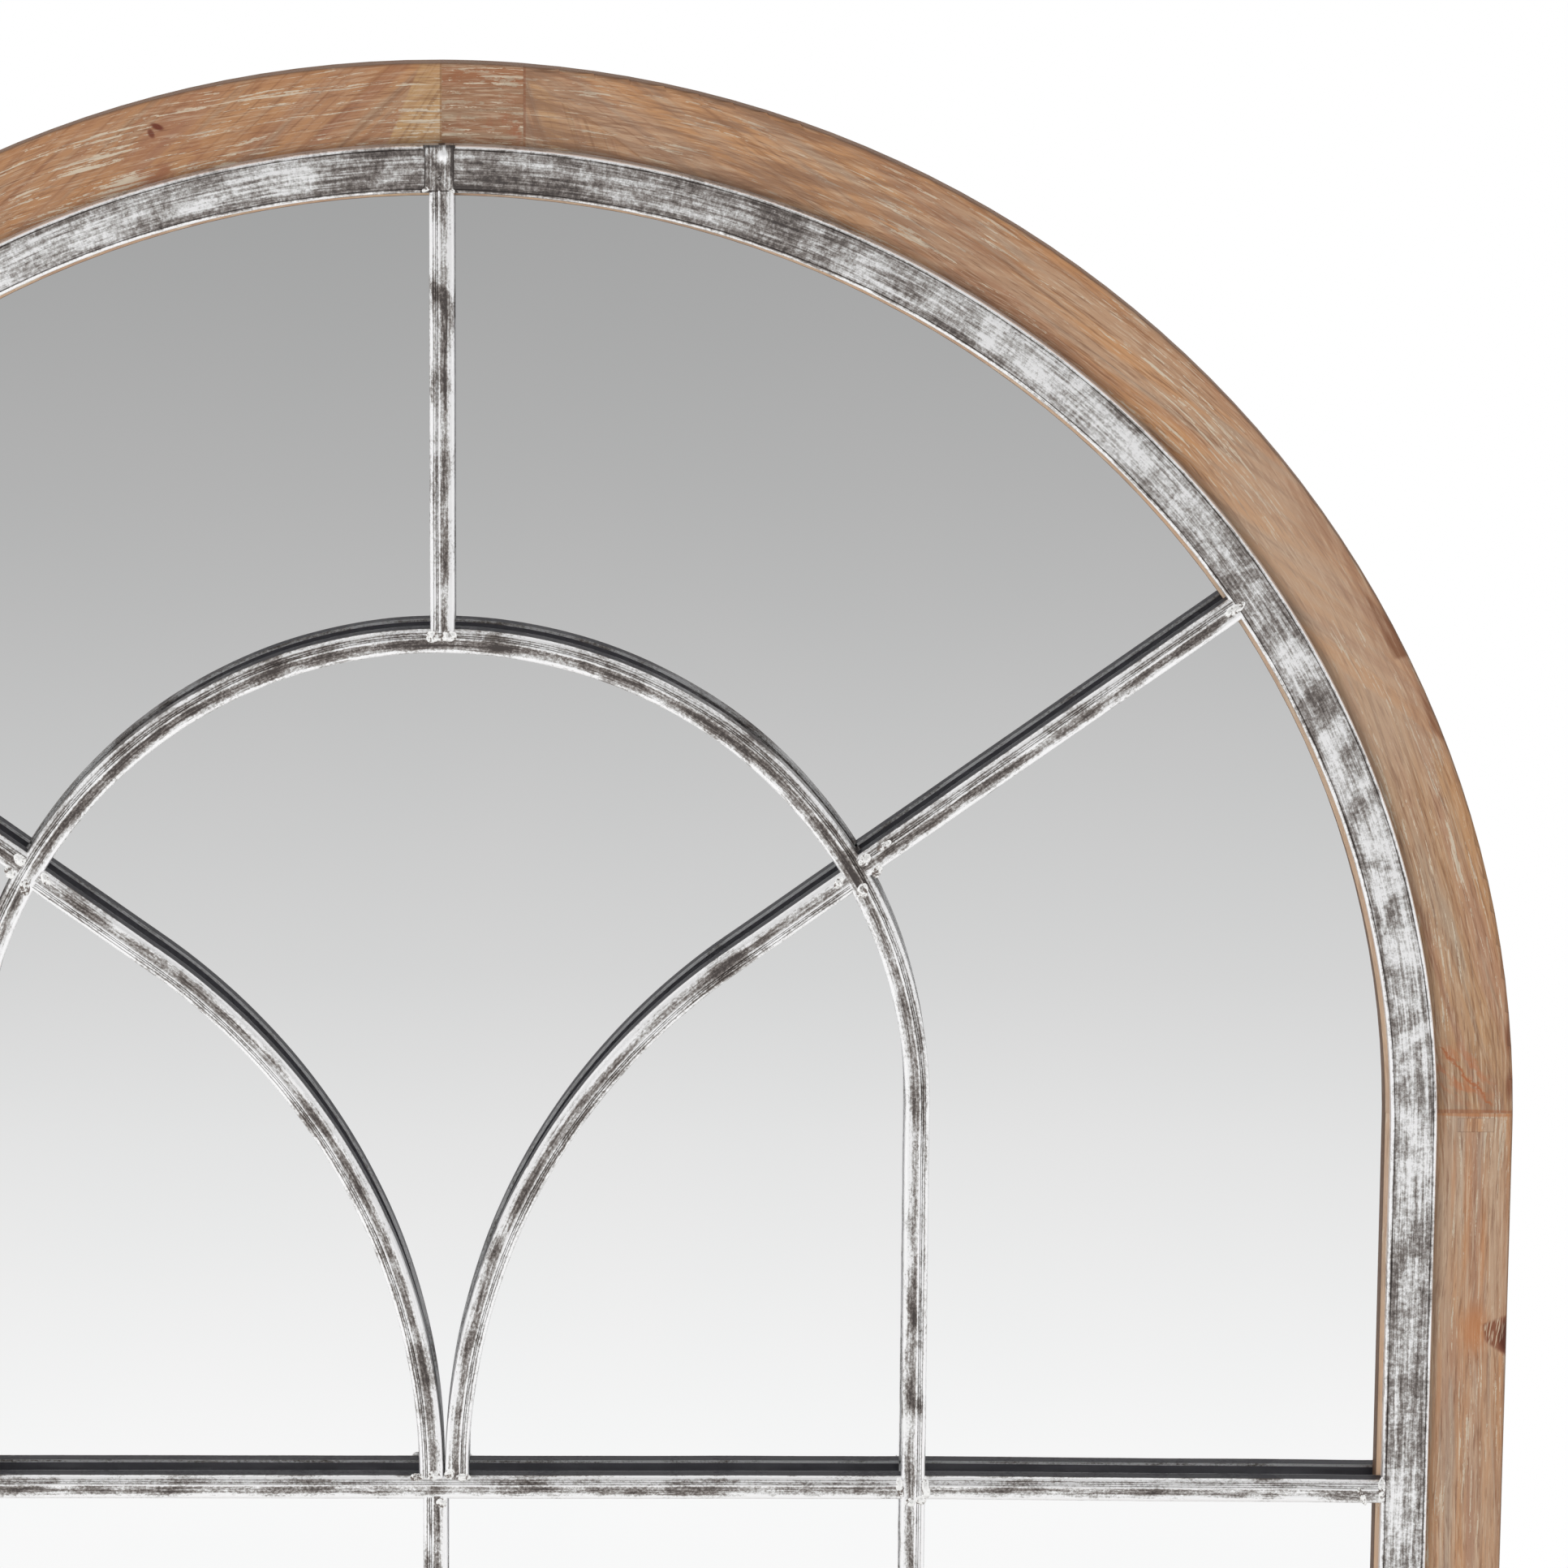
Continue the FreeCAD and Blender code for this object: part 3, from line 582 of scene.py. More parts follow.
# %% Helpers for finished pieces
def soften(mesh, sharp_deg=35.0):
    """Smooth shading, but with an edge wherever two faces meet at a real angle."""
    bm = bmesh.new()
    bm.from_mesh(mesh)
    if bm.calc_volume(signed=True) < 0:
        bmesh.ops.reverse_faces(bm, faces=bm.faces)
    for face in bm.faces:
        face.smooth = True
    for edge in bm.edges:
        edge.smooth = len(edge.link_faces) == 2 and edge.calc_face_angle(0.0) < math.radians(sharp_deg)
    bm.to_mesh(mesh)
    bm.free()


def plain_piece(name, mesh):
    return linked(bpy.data.objects.new(name, mesh))


def evaluated_mesh(piece):
    """The mesh that a piece's modifiers make of it. The piece itself is removed."""
    graph = bpy.context.evaluated_depsgraph_get()
    mesh = bpy.data.meshes.new_from_object(piece.evaluated_get(graph), preserve_all_data_layers=True,
                                           depsgraph=graph)
    bpy.data.objects.remove(piece)
    return mesh


def hand_over(piece, body, node):
    """Tells the frame which body a piece rides on, which node it replaces."""
    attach(piece, body)
    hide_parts(node)
    print(piece.name, len(piece.data.polygons), "faces")
    return piece


def flat_faces_flat(mesh):
    """Lets each large flat face keep its own normal right up to a small bevel."""
    piece = plain_piece("weighted", mesh)
    weighted = piece.modifiers.new("weighted", "WEIGHTED_NORMAL")
    weighted.keep_sharp, weighted.weight = True, 100
    return evaluated_mesh(piece)


def sanded_copy(name, node, bevel_mm, finish, sharp_deg=35.0):
    """A CAD node's shape with merged corners and broken arrises."""
    bm = bmesh.new()
    bm.from_mesh(frame["nodes"][node].data)
    bmesh.ops.remove_doubles(bm, verts=bm.verts, dist=2e-6)
    bmesh.ops.dissolve_limit(bm, angle_limit=math.radians(0.4), verts=bm.verts, edges=bm.edges)
    piece = plain_piece(name, mesh_from(bm, name))
    rounding = piece.modifiers.new("broken_arris", "BEVEL")
    rounding.width, rounding.segments = bevel_mm * MM, 2
    rounding.limit_method, rounding.angle_limit = "ANGLE", math.radians(40)
    rounding.use_clamp_overlap = True
    sanded = evaluated_mesh(piece)
    soften(sanded, sharp_deg)
    piece = plain_piece(name, flat_faces_flat(sanded))
    piece.data.materials.append(finish)
    return hand_over(piece, "root", node)


# %% Wood members
for node, finish in WOOD.items():
    key = node == "spring_joint_keys"
    sanded_copy("wood_" + node.replace("_wood", ""), node, 0.2 if key else 0.35, finish)

# %% [markdown]
# ## Silvered steel
# The grille is open-backed steel channel, painted charcoal, then silvered on
# its face with a dry brush. The brush leaves streaks along the bar, bright
# patches where it was loaded, dark ones where it ran dry, and bright lines on
# every raised edge. The sides and the hollow back stay charcoal, and the
# mirror behind shows them as a dark band. The streaks follow the bar because
# each bar keeps its own measures: run, the distance along it, and inward, the
# distance from its middle line.

# %% The silver finish
SILVER = [(place, tone(*colour)) for place, colour in (
    (0.20, (80, 74, 72)), (0.37, (120, 113, 109)), (0.50, (160, 155, 152)),
    (0.63, (208, 207, 206)), (0.80, (253, 253, 254)))]


def silvered(name, pattern, bias=0.0, wiped=None):
    """Silver brushed over charcoal. The pattern sets how much silver each place caught, round 0.5.
    From wiped[0] to wiped[1] mm away from the middle, silver comes to cover the sides too."""
    finish, place = new_finish(name)
    run, inward, polish_and_shade, hidden = (signal(place.tree, "ShaderNodeAttribute", output="Fac", attribute_name=kept)
                                   for kept in ("run", "inward", "polish_and_shade", "hidden"))
    x, y, z = place.split()
    space = join(place.tree, run, inward, y)
    value, relief = pattern(space, inward, x, z)
    value = polish_and_shade.calc("MAXIMUM", 0.0).calc("MULTIPLY_ADD", 0.24, value) + bias
    shade = hidden.mask(0.25, 0.75)
    if wiped:
        shade = shade * abs(x).mask_mm(wiped[0], wiped[1], 1, 0.15)
    charcoal = space.cloud((12, 60, 160), 2, shift=2).pick(tone(42, 41, 47), tone(54, 53, 60))
    # The paler charcoal of the hollow back is painted light, set against the shade inside the channel.
    charcoal = charcoal.coats((hidden.mask(1.2, 1.8), (103, 102, 109)))  # the hollow back is paler
    colour = shade.pick(value.shades(SILVER), charcoal)
    # Dark where the profile marks it: charcoal left in the grooves by the dry brush, and painted shade at the side
    # corners, along the crown strap's edge and in its pinhole.
    colour = colour.coats((polish_and_shade.mask(-0.9, -0.2, 0.88, 0), (56, 50, 48)))  # the grooves are dark
    close_finish(colour, value.mask(0.35, 0.7, 0.56, 0.3), shade.mask(0, 1, 0.6, 0.1),
                 height=relief * shade.mask(0.2, 0.9, 1, 0.06), bump_mm=0.12, bump=0.6)
    return finish


# %% Silver on the wide ring
def ring_pattern(space, inward, x, z):
    """Dabs laid across the ring, crossed by fine brush lines; dark along the inner rim."""
    dabs = space.cloud((44, 30, 10), 3, 0.55, 0.7)
    tide = space.cloud((12, 18, 10), 2, shift=4)
    streaks = space.cloud((20, 330, 100), 3, 0.65, 0.2, 7.3)
    swipes = space.cloud((40, 900, 100), 3, 0.7, 0.3, 3.1)
    scratches = space.cloud((330, 110, 60), 3, 0.65, 0.8, 5)
    grit = space.cloud(560, 3, 0.75, shift=6.2)
    value = weigh(0.565, (dabs, 0.4), (tide, 0.45), (streaks, 0.65), (swipes, 0.95), (scratches, 0.35),
                  (grit, 0.8))

    def height(low, high, at_low, at_high):
        """A mask by the height above the spring line, in millimetres."""
        return z.mask_mm(spring_z + low, spring_z + high, at_low, at_high)

    loaded = dabs.mask(0.47, 0.56) * inward.between_mm(-8, 6.5, 1.6)
    value = loaded.calc("MULTIPLY_ADD", height(150, 330, 0.13, 0.06) * height(-60, 0, 0.4, 1), value)
    for part in (inward.mask_mm(5, 8.5, 0, -0.16), inward.mask_mm(-8.5, -5, -0.07, 0),  # rims
                 height(372.5, 432.5, 0, -0.195),  # the crown
                 height(250, 350, 0, 0.08), height(60, 140, 0.06, -0.03), height(-60, 10, -0.1, 0),
                 x.mask_mm(-60, -5, 0.13, 0),  # the left half
                 abs(inward).mask_mm(9.4, 9.8, 0, 0.18), abs(inward).mask_mm(10.4, 10.48, 0, 0.22)):
        value = value + part
    return value, weigh(0.5, (swipes, 0.7), (scratches, 0.5), (grit, 0.8))


# %% Silver on the narrow bars
def bar_pattern(space, inward, x, z):
    """A bright lower edge, a taupe valley beside the ridge, and dark dabs here and there."""
    dabs = space.cloud((38, 70, 10), 4, 0.62, 0.6)
    swipes = space.cloud((34, 1000, 100), 3, 0.68, shift=3.1)
    grit = space.cloud((620, 900, 800), 3, 0.75, shift=6.2)
    burnt = space.cloud((17, 26, 10), 2, 0.6, 0.8, 9)
    value = weigh(0.6, (dabs, 1.25), (swipes, 1), (grit, 1))
    value = inward.between_mm(-0.7, 2.1, 0.5).calc("MULTIPLY_ADD", -0.15, value)
    value = value + inward.mask_mm(2.2, 3.4, 0, 0.1) + burnt.mask(0.6, 0.67, 0, -0.17)
    return value, weigh(0.5, (swipes, 0.8), (grit, 0.9))


def arch_pattern(space, inward, x, z):
    """The inner arch caught less silver on its round head than on its legs."""
    value, relief = bar_pattern(space, inward, x, z)
    value = value + z.mask_mm(arch_z - 10, arch_z + 50, 0.04, -0.04)
    return value + z.mask_mm(arch_z + 110, arch_z + 200, 0, -0.07), relief


RING_SILVER = silvered("silvered_ring", ring_pattern, wiped=(1, 2))
BAR_SILVER = silvered("silvered_bars", bar_pattern)
ARCH_SILVER = silvered("silvered_arch", arch_pattern, wiped=(70, 160))
print("silver finishes:", RING_SILVER.name, BAR_SILVER.name, ARCH_SILVER.name)

# %% [markdown]
# ## Bars swept along their paths
# A bar of the grille is one profile drawn along one path: Geometry Nodes do
# just that. The tree resamples the path, lets it waver by a hair as hand-bent
# channel does, stores the run along it, sweeps the profile, and slants the
# ends where two bars are mitred. The profile carries its own marks: across,
# inward (the same, but always away from the outer or upper edge), polish and
# shade (raised edges and grooves, and a painted shadow line where each side
# meets the rounded front edge) and hidden (sides and hollow back; the hollow
# back's paler charcoal is painted light).

# %% Starting and ending a Geometry Nodes tree
def open_tree(name, *sockets):
    """A tree that takes a carrier's geometry, the given (name, kind) sockets and a finish."""
    tree = bpy.data.node_groups.new(name, "GeometryNodeTree")
    for title, kind in (("Geometry", "Geometry"),) + sockets + (("Finish", "Material"),):
        tree.interface.new_socket(title, in_out="INPUT", socket_type="NodeSocket" + kind)
    tree.interface.new_socket("Geometry", in_out="OUTPUT", socket_type="NodeSocketGeometry")
    return tree, [Signal(given) for given in put(tree, "NodeGroupInput").outputs if given.name]


def close_tree(shape, finish):
    shape = shape.into("GeometryNodeRealizeInstances")
    shape = shape.into("GeometryNodeSetMaterial", {"Material": finish})
    put(shape.tree, "NodeGroupOutput", {0: shape})
    return shape.tree


def grown(name, path, tree, **inputs):
    """Runs a tree on a carrier mesh of joined or loose points, and keeps the result as a plain mesh."""
    carrier = plain_piece(name + "_path", path)
    modifier = carrier.modifiers.new(tree.name, "NODES")
    modifier.node_group = tree
    for item in tree.interface.items_tree:
        key = item.name.replace(" ", "_").lower()
        if item.in_out == "INPUT" and key in inputs:
            modifier[item.identifier] = inputs[key]
    return plain_piece(name, evaluated_mesh(carrier))


def points_mesh(name, points, joined=False):
    """Points in metres as a mesh. Joined points make a path."""
    mesh = bpy.data.meshes.new(name)
    mesh.from_pydata(points, [(i, i + 1) for i in range(len(points) - 1)] if joined else [], [])
    return mesh


def read(tree, name, kind="FLOAT"):
    return signal(tree, "GeometryNodeInputNamedAttribute", {"Name": name}, data_type=kind)


# %% The sweeping tree
def sweep_tree():
    tree, (path, profile, step, waver, run_start, start_slant, end_slant, finish) = open_tree(
        "swept_channel", ("Profile", "Object"), ("Step", "Float"), ("Waver", "Float"), ("Run start", "Float"),
        ("Start slant", "Float"), ("End slant", "Float"))

    def store(shape, name, value, kind="FLOAT"):
        return shape.into("GeometryNodeStoreNamedAttribute", {"Name": name, "Value": value}, data_type=kind)

    path = path.into("GeometryNodeMeshToCurve")
    path = path.into("GeometryNodeResampleCurve", {"Length": step}, mode="LENGTH")
    along, length = (signal(tree, "GeometryNodeSplineParameter", output=name) for name in ("Factor", "Length"))
    path = store(path, "run", length + run_start)
    slant = along.calc("LESS_THAN", 1e-4) * start_slant + along.calc("GREATER_THAN", 0.9999) * end_slant
    path = store(path, "slant", slant)
    path = store(path, "way", signal(tree, "GeometryNodeInputTangent"), "FLOAT_VECTOR")
    # the ends stay where they are, and the rest drifts sideways by up to the waver
    loose = (along * (1.0 - along)).calc("MULTIPLY", 30.0, clamp=True) * waver
    cloud = signal(tree, "ShaderNodeTexNoise", {"Scale": 14.0, "Detail": 1.0}, "Color")
    drift = cloud.vector("SUBTRACT", {1: (0.5, 0.5, 0.5)}).vector("MULTIPLY", {1: (1, 0, 1)})
    path = path.into("GeometryNodeSetPosition", {"Offset": drift.vector("SCALE", {"Scale": loose})})
    path = path.into("GeometryNodeSetCurveNormal", {"Normal": (0, -1, 0)}, mode="FREE")
    drawn = profile.into("GeometryNodeObjectInfo", output="Geometry").into("GeometryNodeMeshToCurve")
    skin = path.into("GeometryNodeCurveToMesh", {"Profile Curve": drawn, "Fill Caps": True})
    shear = read(tree, "slant") * read(tree, "across")
    push = read(tree, "way", "FLOAT_VECTOR").vector("SCALE", {"Scale": shear})
    return close_tree(skin.into("GeometryNodeSetPosition", {"Offset": push}), finish)


SWEEP = sweep_tree()


# %% The two profiles
def profile(name, half, marks, side=1):
    """A channel's outline, seen from its end: (across, depth, polish and painted shade, hidden), in millimetres.
    Side -1 turns it round, so that its outer edge lies to the other side."""
    d, t = metal_d, metal_t
    # the point at depth 1.9 mm on the side is painted dark: a painted shadow line where the side meets the rounded
    # front edge
    rounded = ((half, 2.5, 0.0, 0.9), (half, 1.9, -1.0, 0.6), (half - 0.10, 1.0, 0.6, 0.0),
               (half - 0.55, 0.3, 1.0, 0.0), (half - 1.3, 0.03, 0.9, 0.0))
    flank = ((half, d, 0.6, 0.2), (half, d - 0.35, 0.0, 1.0), (half, 4.5, 0.0, 1.0)) + rounded
    # hidden 2.0 gives the hollow back a paler charcoal: painted light against the shade inside the channel
    back = ((half - t, d, 0.6, 0.2), (half - t, d - 0.35, 0.0, 2.0), (half - t, t, 0.0, 2.0))
    outline = [(-u, v, p, h) for u, v, p, h in flank] + list(marks) + list(reversed(flank))
    outline += list(back) + [(-u, v, p, h) for u, v, p, h in reversed(back)]
    across, depth, polish_and_shade, hidden = zip(*outline)
    # the profile's X becomes the bar's front-to-back direction, and its Y runs across the bar
    mesh = bpy.data.meshes.new(name)
    mesh.from_pydata([(-(metal_front + v) * MM, side * u * MM, 0) for u, v in zip(across, depth)],
                     [(i, (i + 1) % len(outline)) for i in range(len(outline))], [])
    for title, values in (("across", [side * u * MM for u in across]), ("inward", [u * MM for u in across]),
                          ("polish_and_shade", polish_and_shade), ("hidden", hidden)):
        mesh.attributes.new(title, "FLOAT", "POINT").data.foreach_set("value", values)
    return plain_piece(name, mesh)


def groove(u, deep, half):
    return ((u - half, 0.0, 0.3, 0.0), (u, deep, -1.0, 0.0), (u + half, 0.0, 0.3, 0.0))


bar_marks = (groove(-3.7, 0.12, 0.3) + groove(-2.6, 0.30, 0.22) + groove(-1.8, 0.30, 0.22)
             + ((-1.1, -0.16, 1.0, 0.0), (-0.4, 0.0, 0.1, 0.0), (2.0, 0.0, 0.0, 0.0), (3.4, -0.06, 0.1, 0.0)))
ring_marks = (groove(-8.7, 0.32, 0.3)
              + ((-7.6, -0.05, 0.1, 0.0), (-3.0, -0.05, 0.0, 0.0), (3.0, -0.05, 0.0, 0.0), (7.0, 0.0, 0.0, 0.0))
              + groove(8.7, 0.3, 0.3))
BAR_PROFILE = {side: profile("bar_profile", bar_w / 2, bar_marks, side) for side in (1, -1)}
RING_PROFILE = {side: profile("ring_profile", ring_w / 2, ring_marks, side) for side in (1, -1)}
print("profile corners:", len(BAR_PROFILE[1].data.vertices), len(RING_PROFILE[1].data.vertices))


# %% [markdown]
# ## Paths of the grille
# Each path is the middle line of a bar, in millimetres, in the plane of the
# mirror. Straight bars have two points. Arcs are given by their centre,
# radius and angles, and the tracery bar bends until its slope is that of the
# diagonal. A bar's end runs into its neighbour by the width of the rounded
# corner, as a welded end does.

# %% Path helpers
INTO = 1.5  # how far a bar's end runs into its neighbour
PATH_STEP = 0.004  # in metres


def arc(cx, cz, radius, start, end, steps=120):
    """Points on an arc, from one angle to another, counted from +X towards +Z."""
    turns = [math.radians(start + (end - start) * i / steps) for i in range(steps + 1)]
    return [(cx + radius * math.cos(a), cz + radius * math.sin(a)) for a in turns]


def bar(node, points, run_start, drawn=BAR_PROFILE[1], finish=BAR_SILVER, waver=0.5, name=None, **slants):
    """Sweeps one bar. Each has its own run_start in metres, so that no two bars are worn alike."""
    path = points_mesh(node, [at(x, z) for x, z in points], joined=True)
    piece = grown("grille_" + (name or node), path, SWEEP, profile=drawn, step=PATH_STEP, waver=waver * MM,
                  run_start=run_start, finish=finish, **slants)
    soften(piece.data, 28.0)
    hand_over(piece, "root", node)


# %% The ring and the inner arch
seam_deg = 90 - math.degrees(math.asin(5.0 / ring_r))
for name, side, run, slant in (("ring_right", 1, 0.0, -1.0), ("ring_left", -1, 5.0, 1.0)):
    half = arc(0, spring_z, ring_r, seam_deg, 90 - side * 90) + [(side * ring_r, ring_low)]
    bar(name, half, run, RING_PROFILE[side], RING_SILVER, end_slant=slant)
bar("ring_bottom", [(-ring_r, ring_low), (ring_r, ring_low)], 9.0, RING_PROFILE[-1], RING_SILVER,
    start_slant=-1.0, end_slant=1.0)
arch_foot = corner_high - INTO
arch_path = [(-arch_r, arch_foot)] + arc(0, arch_z, arch_r, 180, 0) + [(arch_r, arch_foot)]
bar("inner_arch", arch_path, 13.0, finish=ARCH_SILVER, waver=0.9)

# %% Straight bars
bar("top_bar", [(0, arch_z + arch_out - INTO), (0, spring_z + ring_in + INTO)], 17.0)
for node, x0, x1, run, sag in (("crossbar_centre", -arch_in - INTO, arch_in + INTO, 19.0, 0.0),
                               ("crossbar_left", -ring_in - INTO, -arch_out + INTO, 21.0, 0.0),
                               ("crossbar_right", arch_out - INTO, ring_in + INTO, 23.0, cross_sag)):
    bar(node, [(x0, cross_z), (x1, cross_z - sag)], run)
bar("lower_centre_bar", [(centre_x, arch_foot), (centre_x, cross_z - bar_w / 2 + INTO)], 25.0,
    name="lower_centre")
for node, x0, x1, run in (("rung_outer_left", -ring_in - INTO, -arch_out + INTO, 27.0),
                          ("rung_inner_left", -arch_in - INTO, centre_x - bar_w / 2 + INTO, 29.0),
                          ("rung_inner_right", centre_x + bar_w / 2 - INTO, arch_in + INTO, 31.0),
                          ("rung_outer_right", arch_out - INTO, ring_in + INTO, 33.0)):
    bar(node, [(x0, rung_z), (x1, rung_z)], run)

# %% Tracery bars and diagonals
diagonal_deg, tracery_r, foot_x, foot_z, lift = 35.7, 296.5, 5.8, cross_z + bar_w / 2, 2.0
turn_deg = 90 - diagonal_deg
way_x, way_z = math.cos(math.radians(diagonal_deg)), math.sin(math.radians(diagonal_deg))
bend_x = foot_x + tracery_r - tracery_r * math.cos(math.radians(turn_deg))
bend_z = foot_z + tracery_r * math.sin(math.radians(turn_deg))


def reaches(x, z, centre_z, radius):
    """How far from (x, z) along the diagonal until a circle round the axis is met."""
    b = x * way_x + (z - centre_z) * way_z
    return -b + math.sqrt(b * b - (x * x + (z - centre_z) ** 2 - radius * radius))


to_arch = reaches(bend_x, bend_z, arch_z, arch_in) + INTO
tracery_path = ([(foot_x, foot_z - INTO)] + arc(foot_x + tracery_r, foot_z, tracery_r, 180, 180 - turn_deg)
                + [(bend_x + way_x * to_arch, bend_z + way_z * to_arch)])
start_x, start_z = bend_x - way_z * lift, bend_z + way_x * lift
diagonal_path = [(start_x + way_x * d, start_z + way_z * d) for d in (
    reaches(start_x, start_z, arch_z, arch_out) - INTO, reaches(start_x, start_z, spring_z, ring_in) + INTO)]
for kind, path, run, turn, waver in (("tracery_", tracery_path, 36.0, -1, 0.8),
                                     ("diagonal_", diagonal_path, 40.0, 1, 0.5)):
    for side, name in ((1, "right"), (-1, "left")):
        bar(kind + name, [(side * x, z) for x, z in path], run + side, BAR_PROFILE[turn * side], waver=waver)
for drawn in (*BAR_PROFILE.values(), *RING_PROFILE.values()):
    bpy.data.objects.remove(drawn)

# %% [markdown]
# ## Weld beads
# Where bars meet, the weld was left as small rounded lumps and silvered over.
# No two are alike. A point for each lump carries its size and turn, Geometry
# Nodes put a ball on each and knead them with noise.

# %% Weld lumps
def weld_finish():
    finish, place = new_finish("silvered_welds")
    grit = place.cloud(1500, 2)
    value = grit.calc("MULTIPLY_ADD", 0.3, place.cloud(420, 3, 0.6, 0.4))
    colour = value.mask(0.52, 0.68).pick(tone(116, 106, 100), tone(252, 252, 251))
    close_finish(colour, value.mask(0.4, 0.7, 0.5, 0.3), 0.6, height=value, bump_mm=0.3, bump=0.6)
    return finish


def weld_tree():
    tree, (points, detail, knead, finish) = open_tree("weld_lumps", ("Ball detail", "Int"), ("Knead", "Float"))
    ball = signal(tree, "GeometryNodeMeshIcoSphere", {"Radius": 1.0, "Subdivisions": detail})
    turn = read(tree, "turn", "FLOAT_VECTOR").into("FunctionNodeEulerToRotation")
    lumps = points.into("GeometryNodeMeshToPoints").into("GeometryNodeInstanceOnPoints", {
        "Instance": ball, "Rotation": turn, "Scale": read(tree, "size", "FLOAT_VECTOR")})
    lumps = lumps.into("GeometryNodeRealizeInstances")
    cloud = signal(tree, "ShaderNodeTexNoise", {"Scale": 420.0, "Detail": 2.0}, "Fac")
    push = signal(tree, "GeometryNodeInputNormal").vector("SCALE", {"Scale": (cloud - 0.56) * knead})
    lumps = lumps.into("GeometryNodeSetPosition", {"Offset": push})
    return close_tree(lumps.into("GeometryNodeSetShadeSmooth"), finish)


# (x, height above the spring line, half long, half wide, turn in degrees)
LUMPS = [
    (-3.2, 420.2, 0.8, 0.8, 0), (-6.6, 428.4, 2.2, 1.1, 30), (4.4, 428.0, 1.8, 1.0, -30),  # crown
    (-4.3, 228.6, 3.2, 2.7, 0), (3.0, 228.9, 3.4, 2.7, 0), (-0.6, 228.2, 2.6, 1.8, 0),  # top bar on the arch
    (188.0, 127.5, 3.4, 2.4, 50), (193.6, 122.3, 3.2, 2.2, 60), (187.3, 113.3, 3.8, 2.6, 80),  # right crossing
    (196.5, 134.0, 4.2, 1.7, 36), (176.5, 117.2, 3.2, 2.0, 60),
    (-188.2, 126.5, 3.3, 2.5, -50), (-192.8, 120.8, 3.2, 2.2, -64),  # left crossing
    (-186.2, 113.6, 3.6, 2.5, -80), (-176.8, 117.6, 3.2, 2.0, -60),
    (-12.4, -161.0, 3.2, 2.0, 0), (-4.6, -160.2, 3.0, 2.4, 10),  # feet of the tracery
    (2.4, -159.4, 2.7, 2.2, 30), (8.6, -160.9, 3.6, 1.8, 0),
    (-1.2, -173.2, 2.6, 2.4, 0), (211.6, -172.6, 2.4, 2.0, 0), (216.6, -171.8, 2.6, 2.2, 0),  # under the crossbar
    (417.6, -169.5, 1.6, 4.6, 24), (426.6, -166.6, 1.8, 6.2, 0), (-426.4, -165.4, 1.8, 5.8, 0),  # its outer ends
    (351.0, 242.1, 2.2, 5.6, -54), (-350.6, 241.8, 2.2, 5.8, 54),  # diagonals on the ring
]
rung_up = rung_z - spring_z
for x in (-219.0, -207.0, 207.0, 219.0):
    LUMPS.append((x, -165.5 - (x > 210) * 0.3, 1.8, 5.0, 6 if x > 0 else -6))
    LUMPS.append((x, rung_up, 1.8, 4.8, 0))
LUMPS += [(x, rung_up, 1.8, 4.6, 0) for x in (-426.4, 426.4, centre_x - 6, centre_x + 6)]
LUMPS += [(x, corner_high - spring_z + 0.5, 5.0, 1.9, 0) for x in (-arch_r, arch_r, centre_x)]
LUMP_FLAT, LUMP_RISE = 0.95, 0.9  # half thickness of a ball, and how far one may stand out


def build_welds():
    points = points_mesh("weld_points", [at(x, spring_z + z, metal_front + 0.1) for x, z, *rest in LUMPS])
    sizes = [v * MM for x, z, long, wide, turn in LUMPS for v in (long, LUMP_FLAT, wide)]
    turns = [v for *rest, turn in LUMPS for v in (0.0, -math.radians(turn), 0.0)]
    for name, values in (("size", sizes), ("turn", turns)):
        points.attributes.new(name, "FLOAT_VECTOR", "POINT").data.foreach_set("vector", values)
    welds = grown("grille_weld_lumps", points, weld_tree(), ball_detail=4, knead=1.3 * MM, finish=weld_finish())
    for vertex in welds.data.vertices:
        vertex.co.y = max(vertex.co.y, (metal_front - LUMP_RISE) * MM)
    hand_over(welds, "root", "weld_beads")


build_welds()


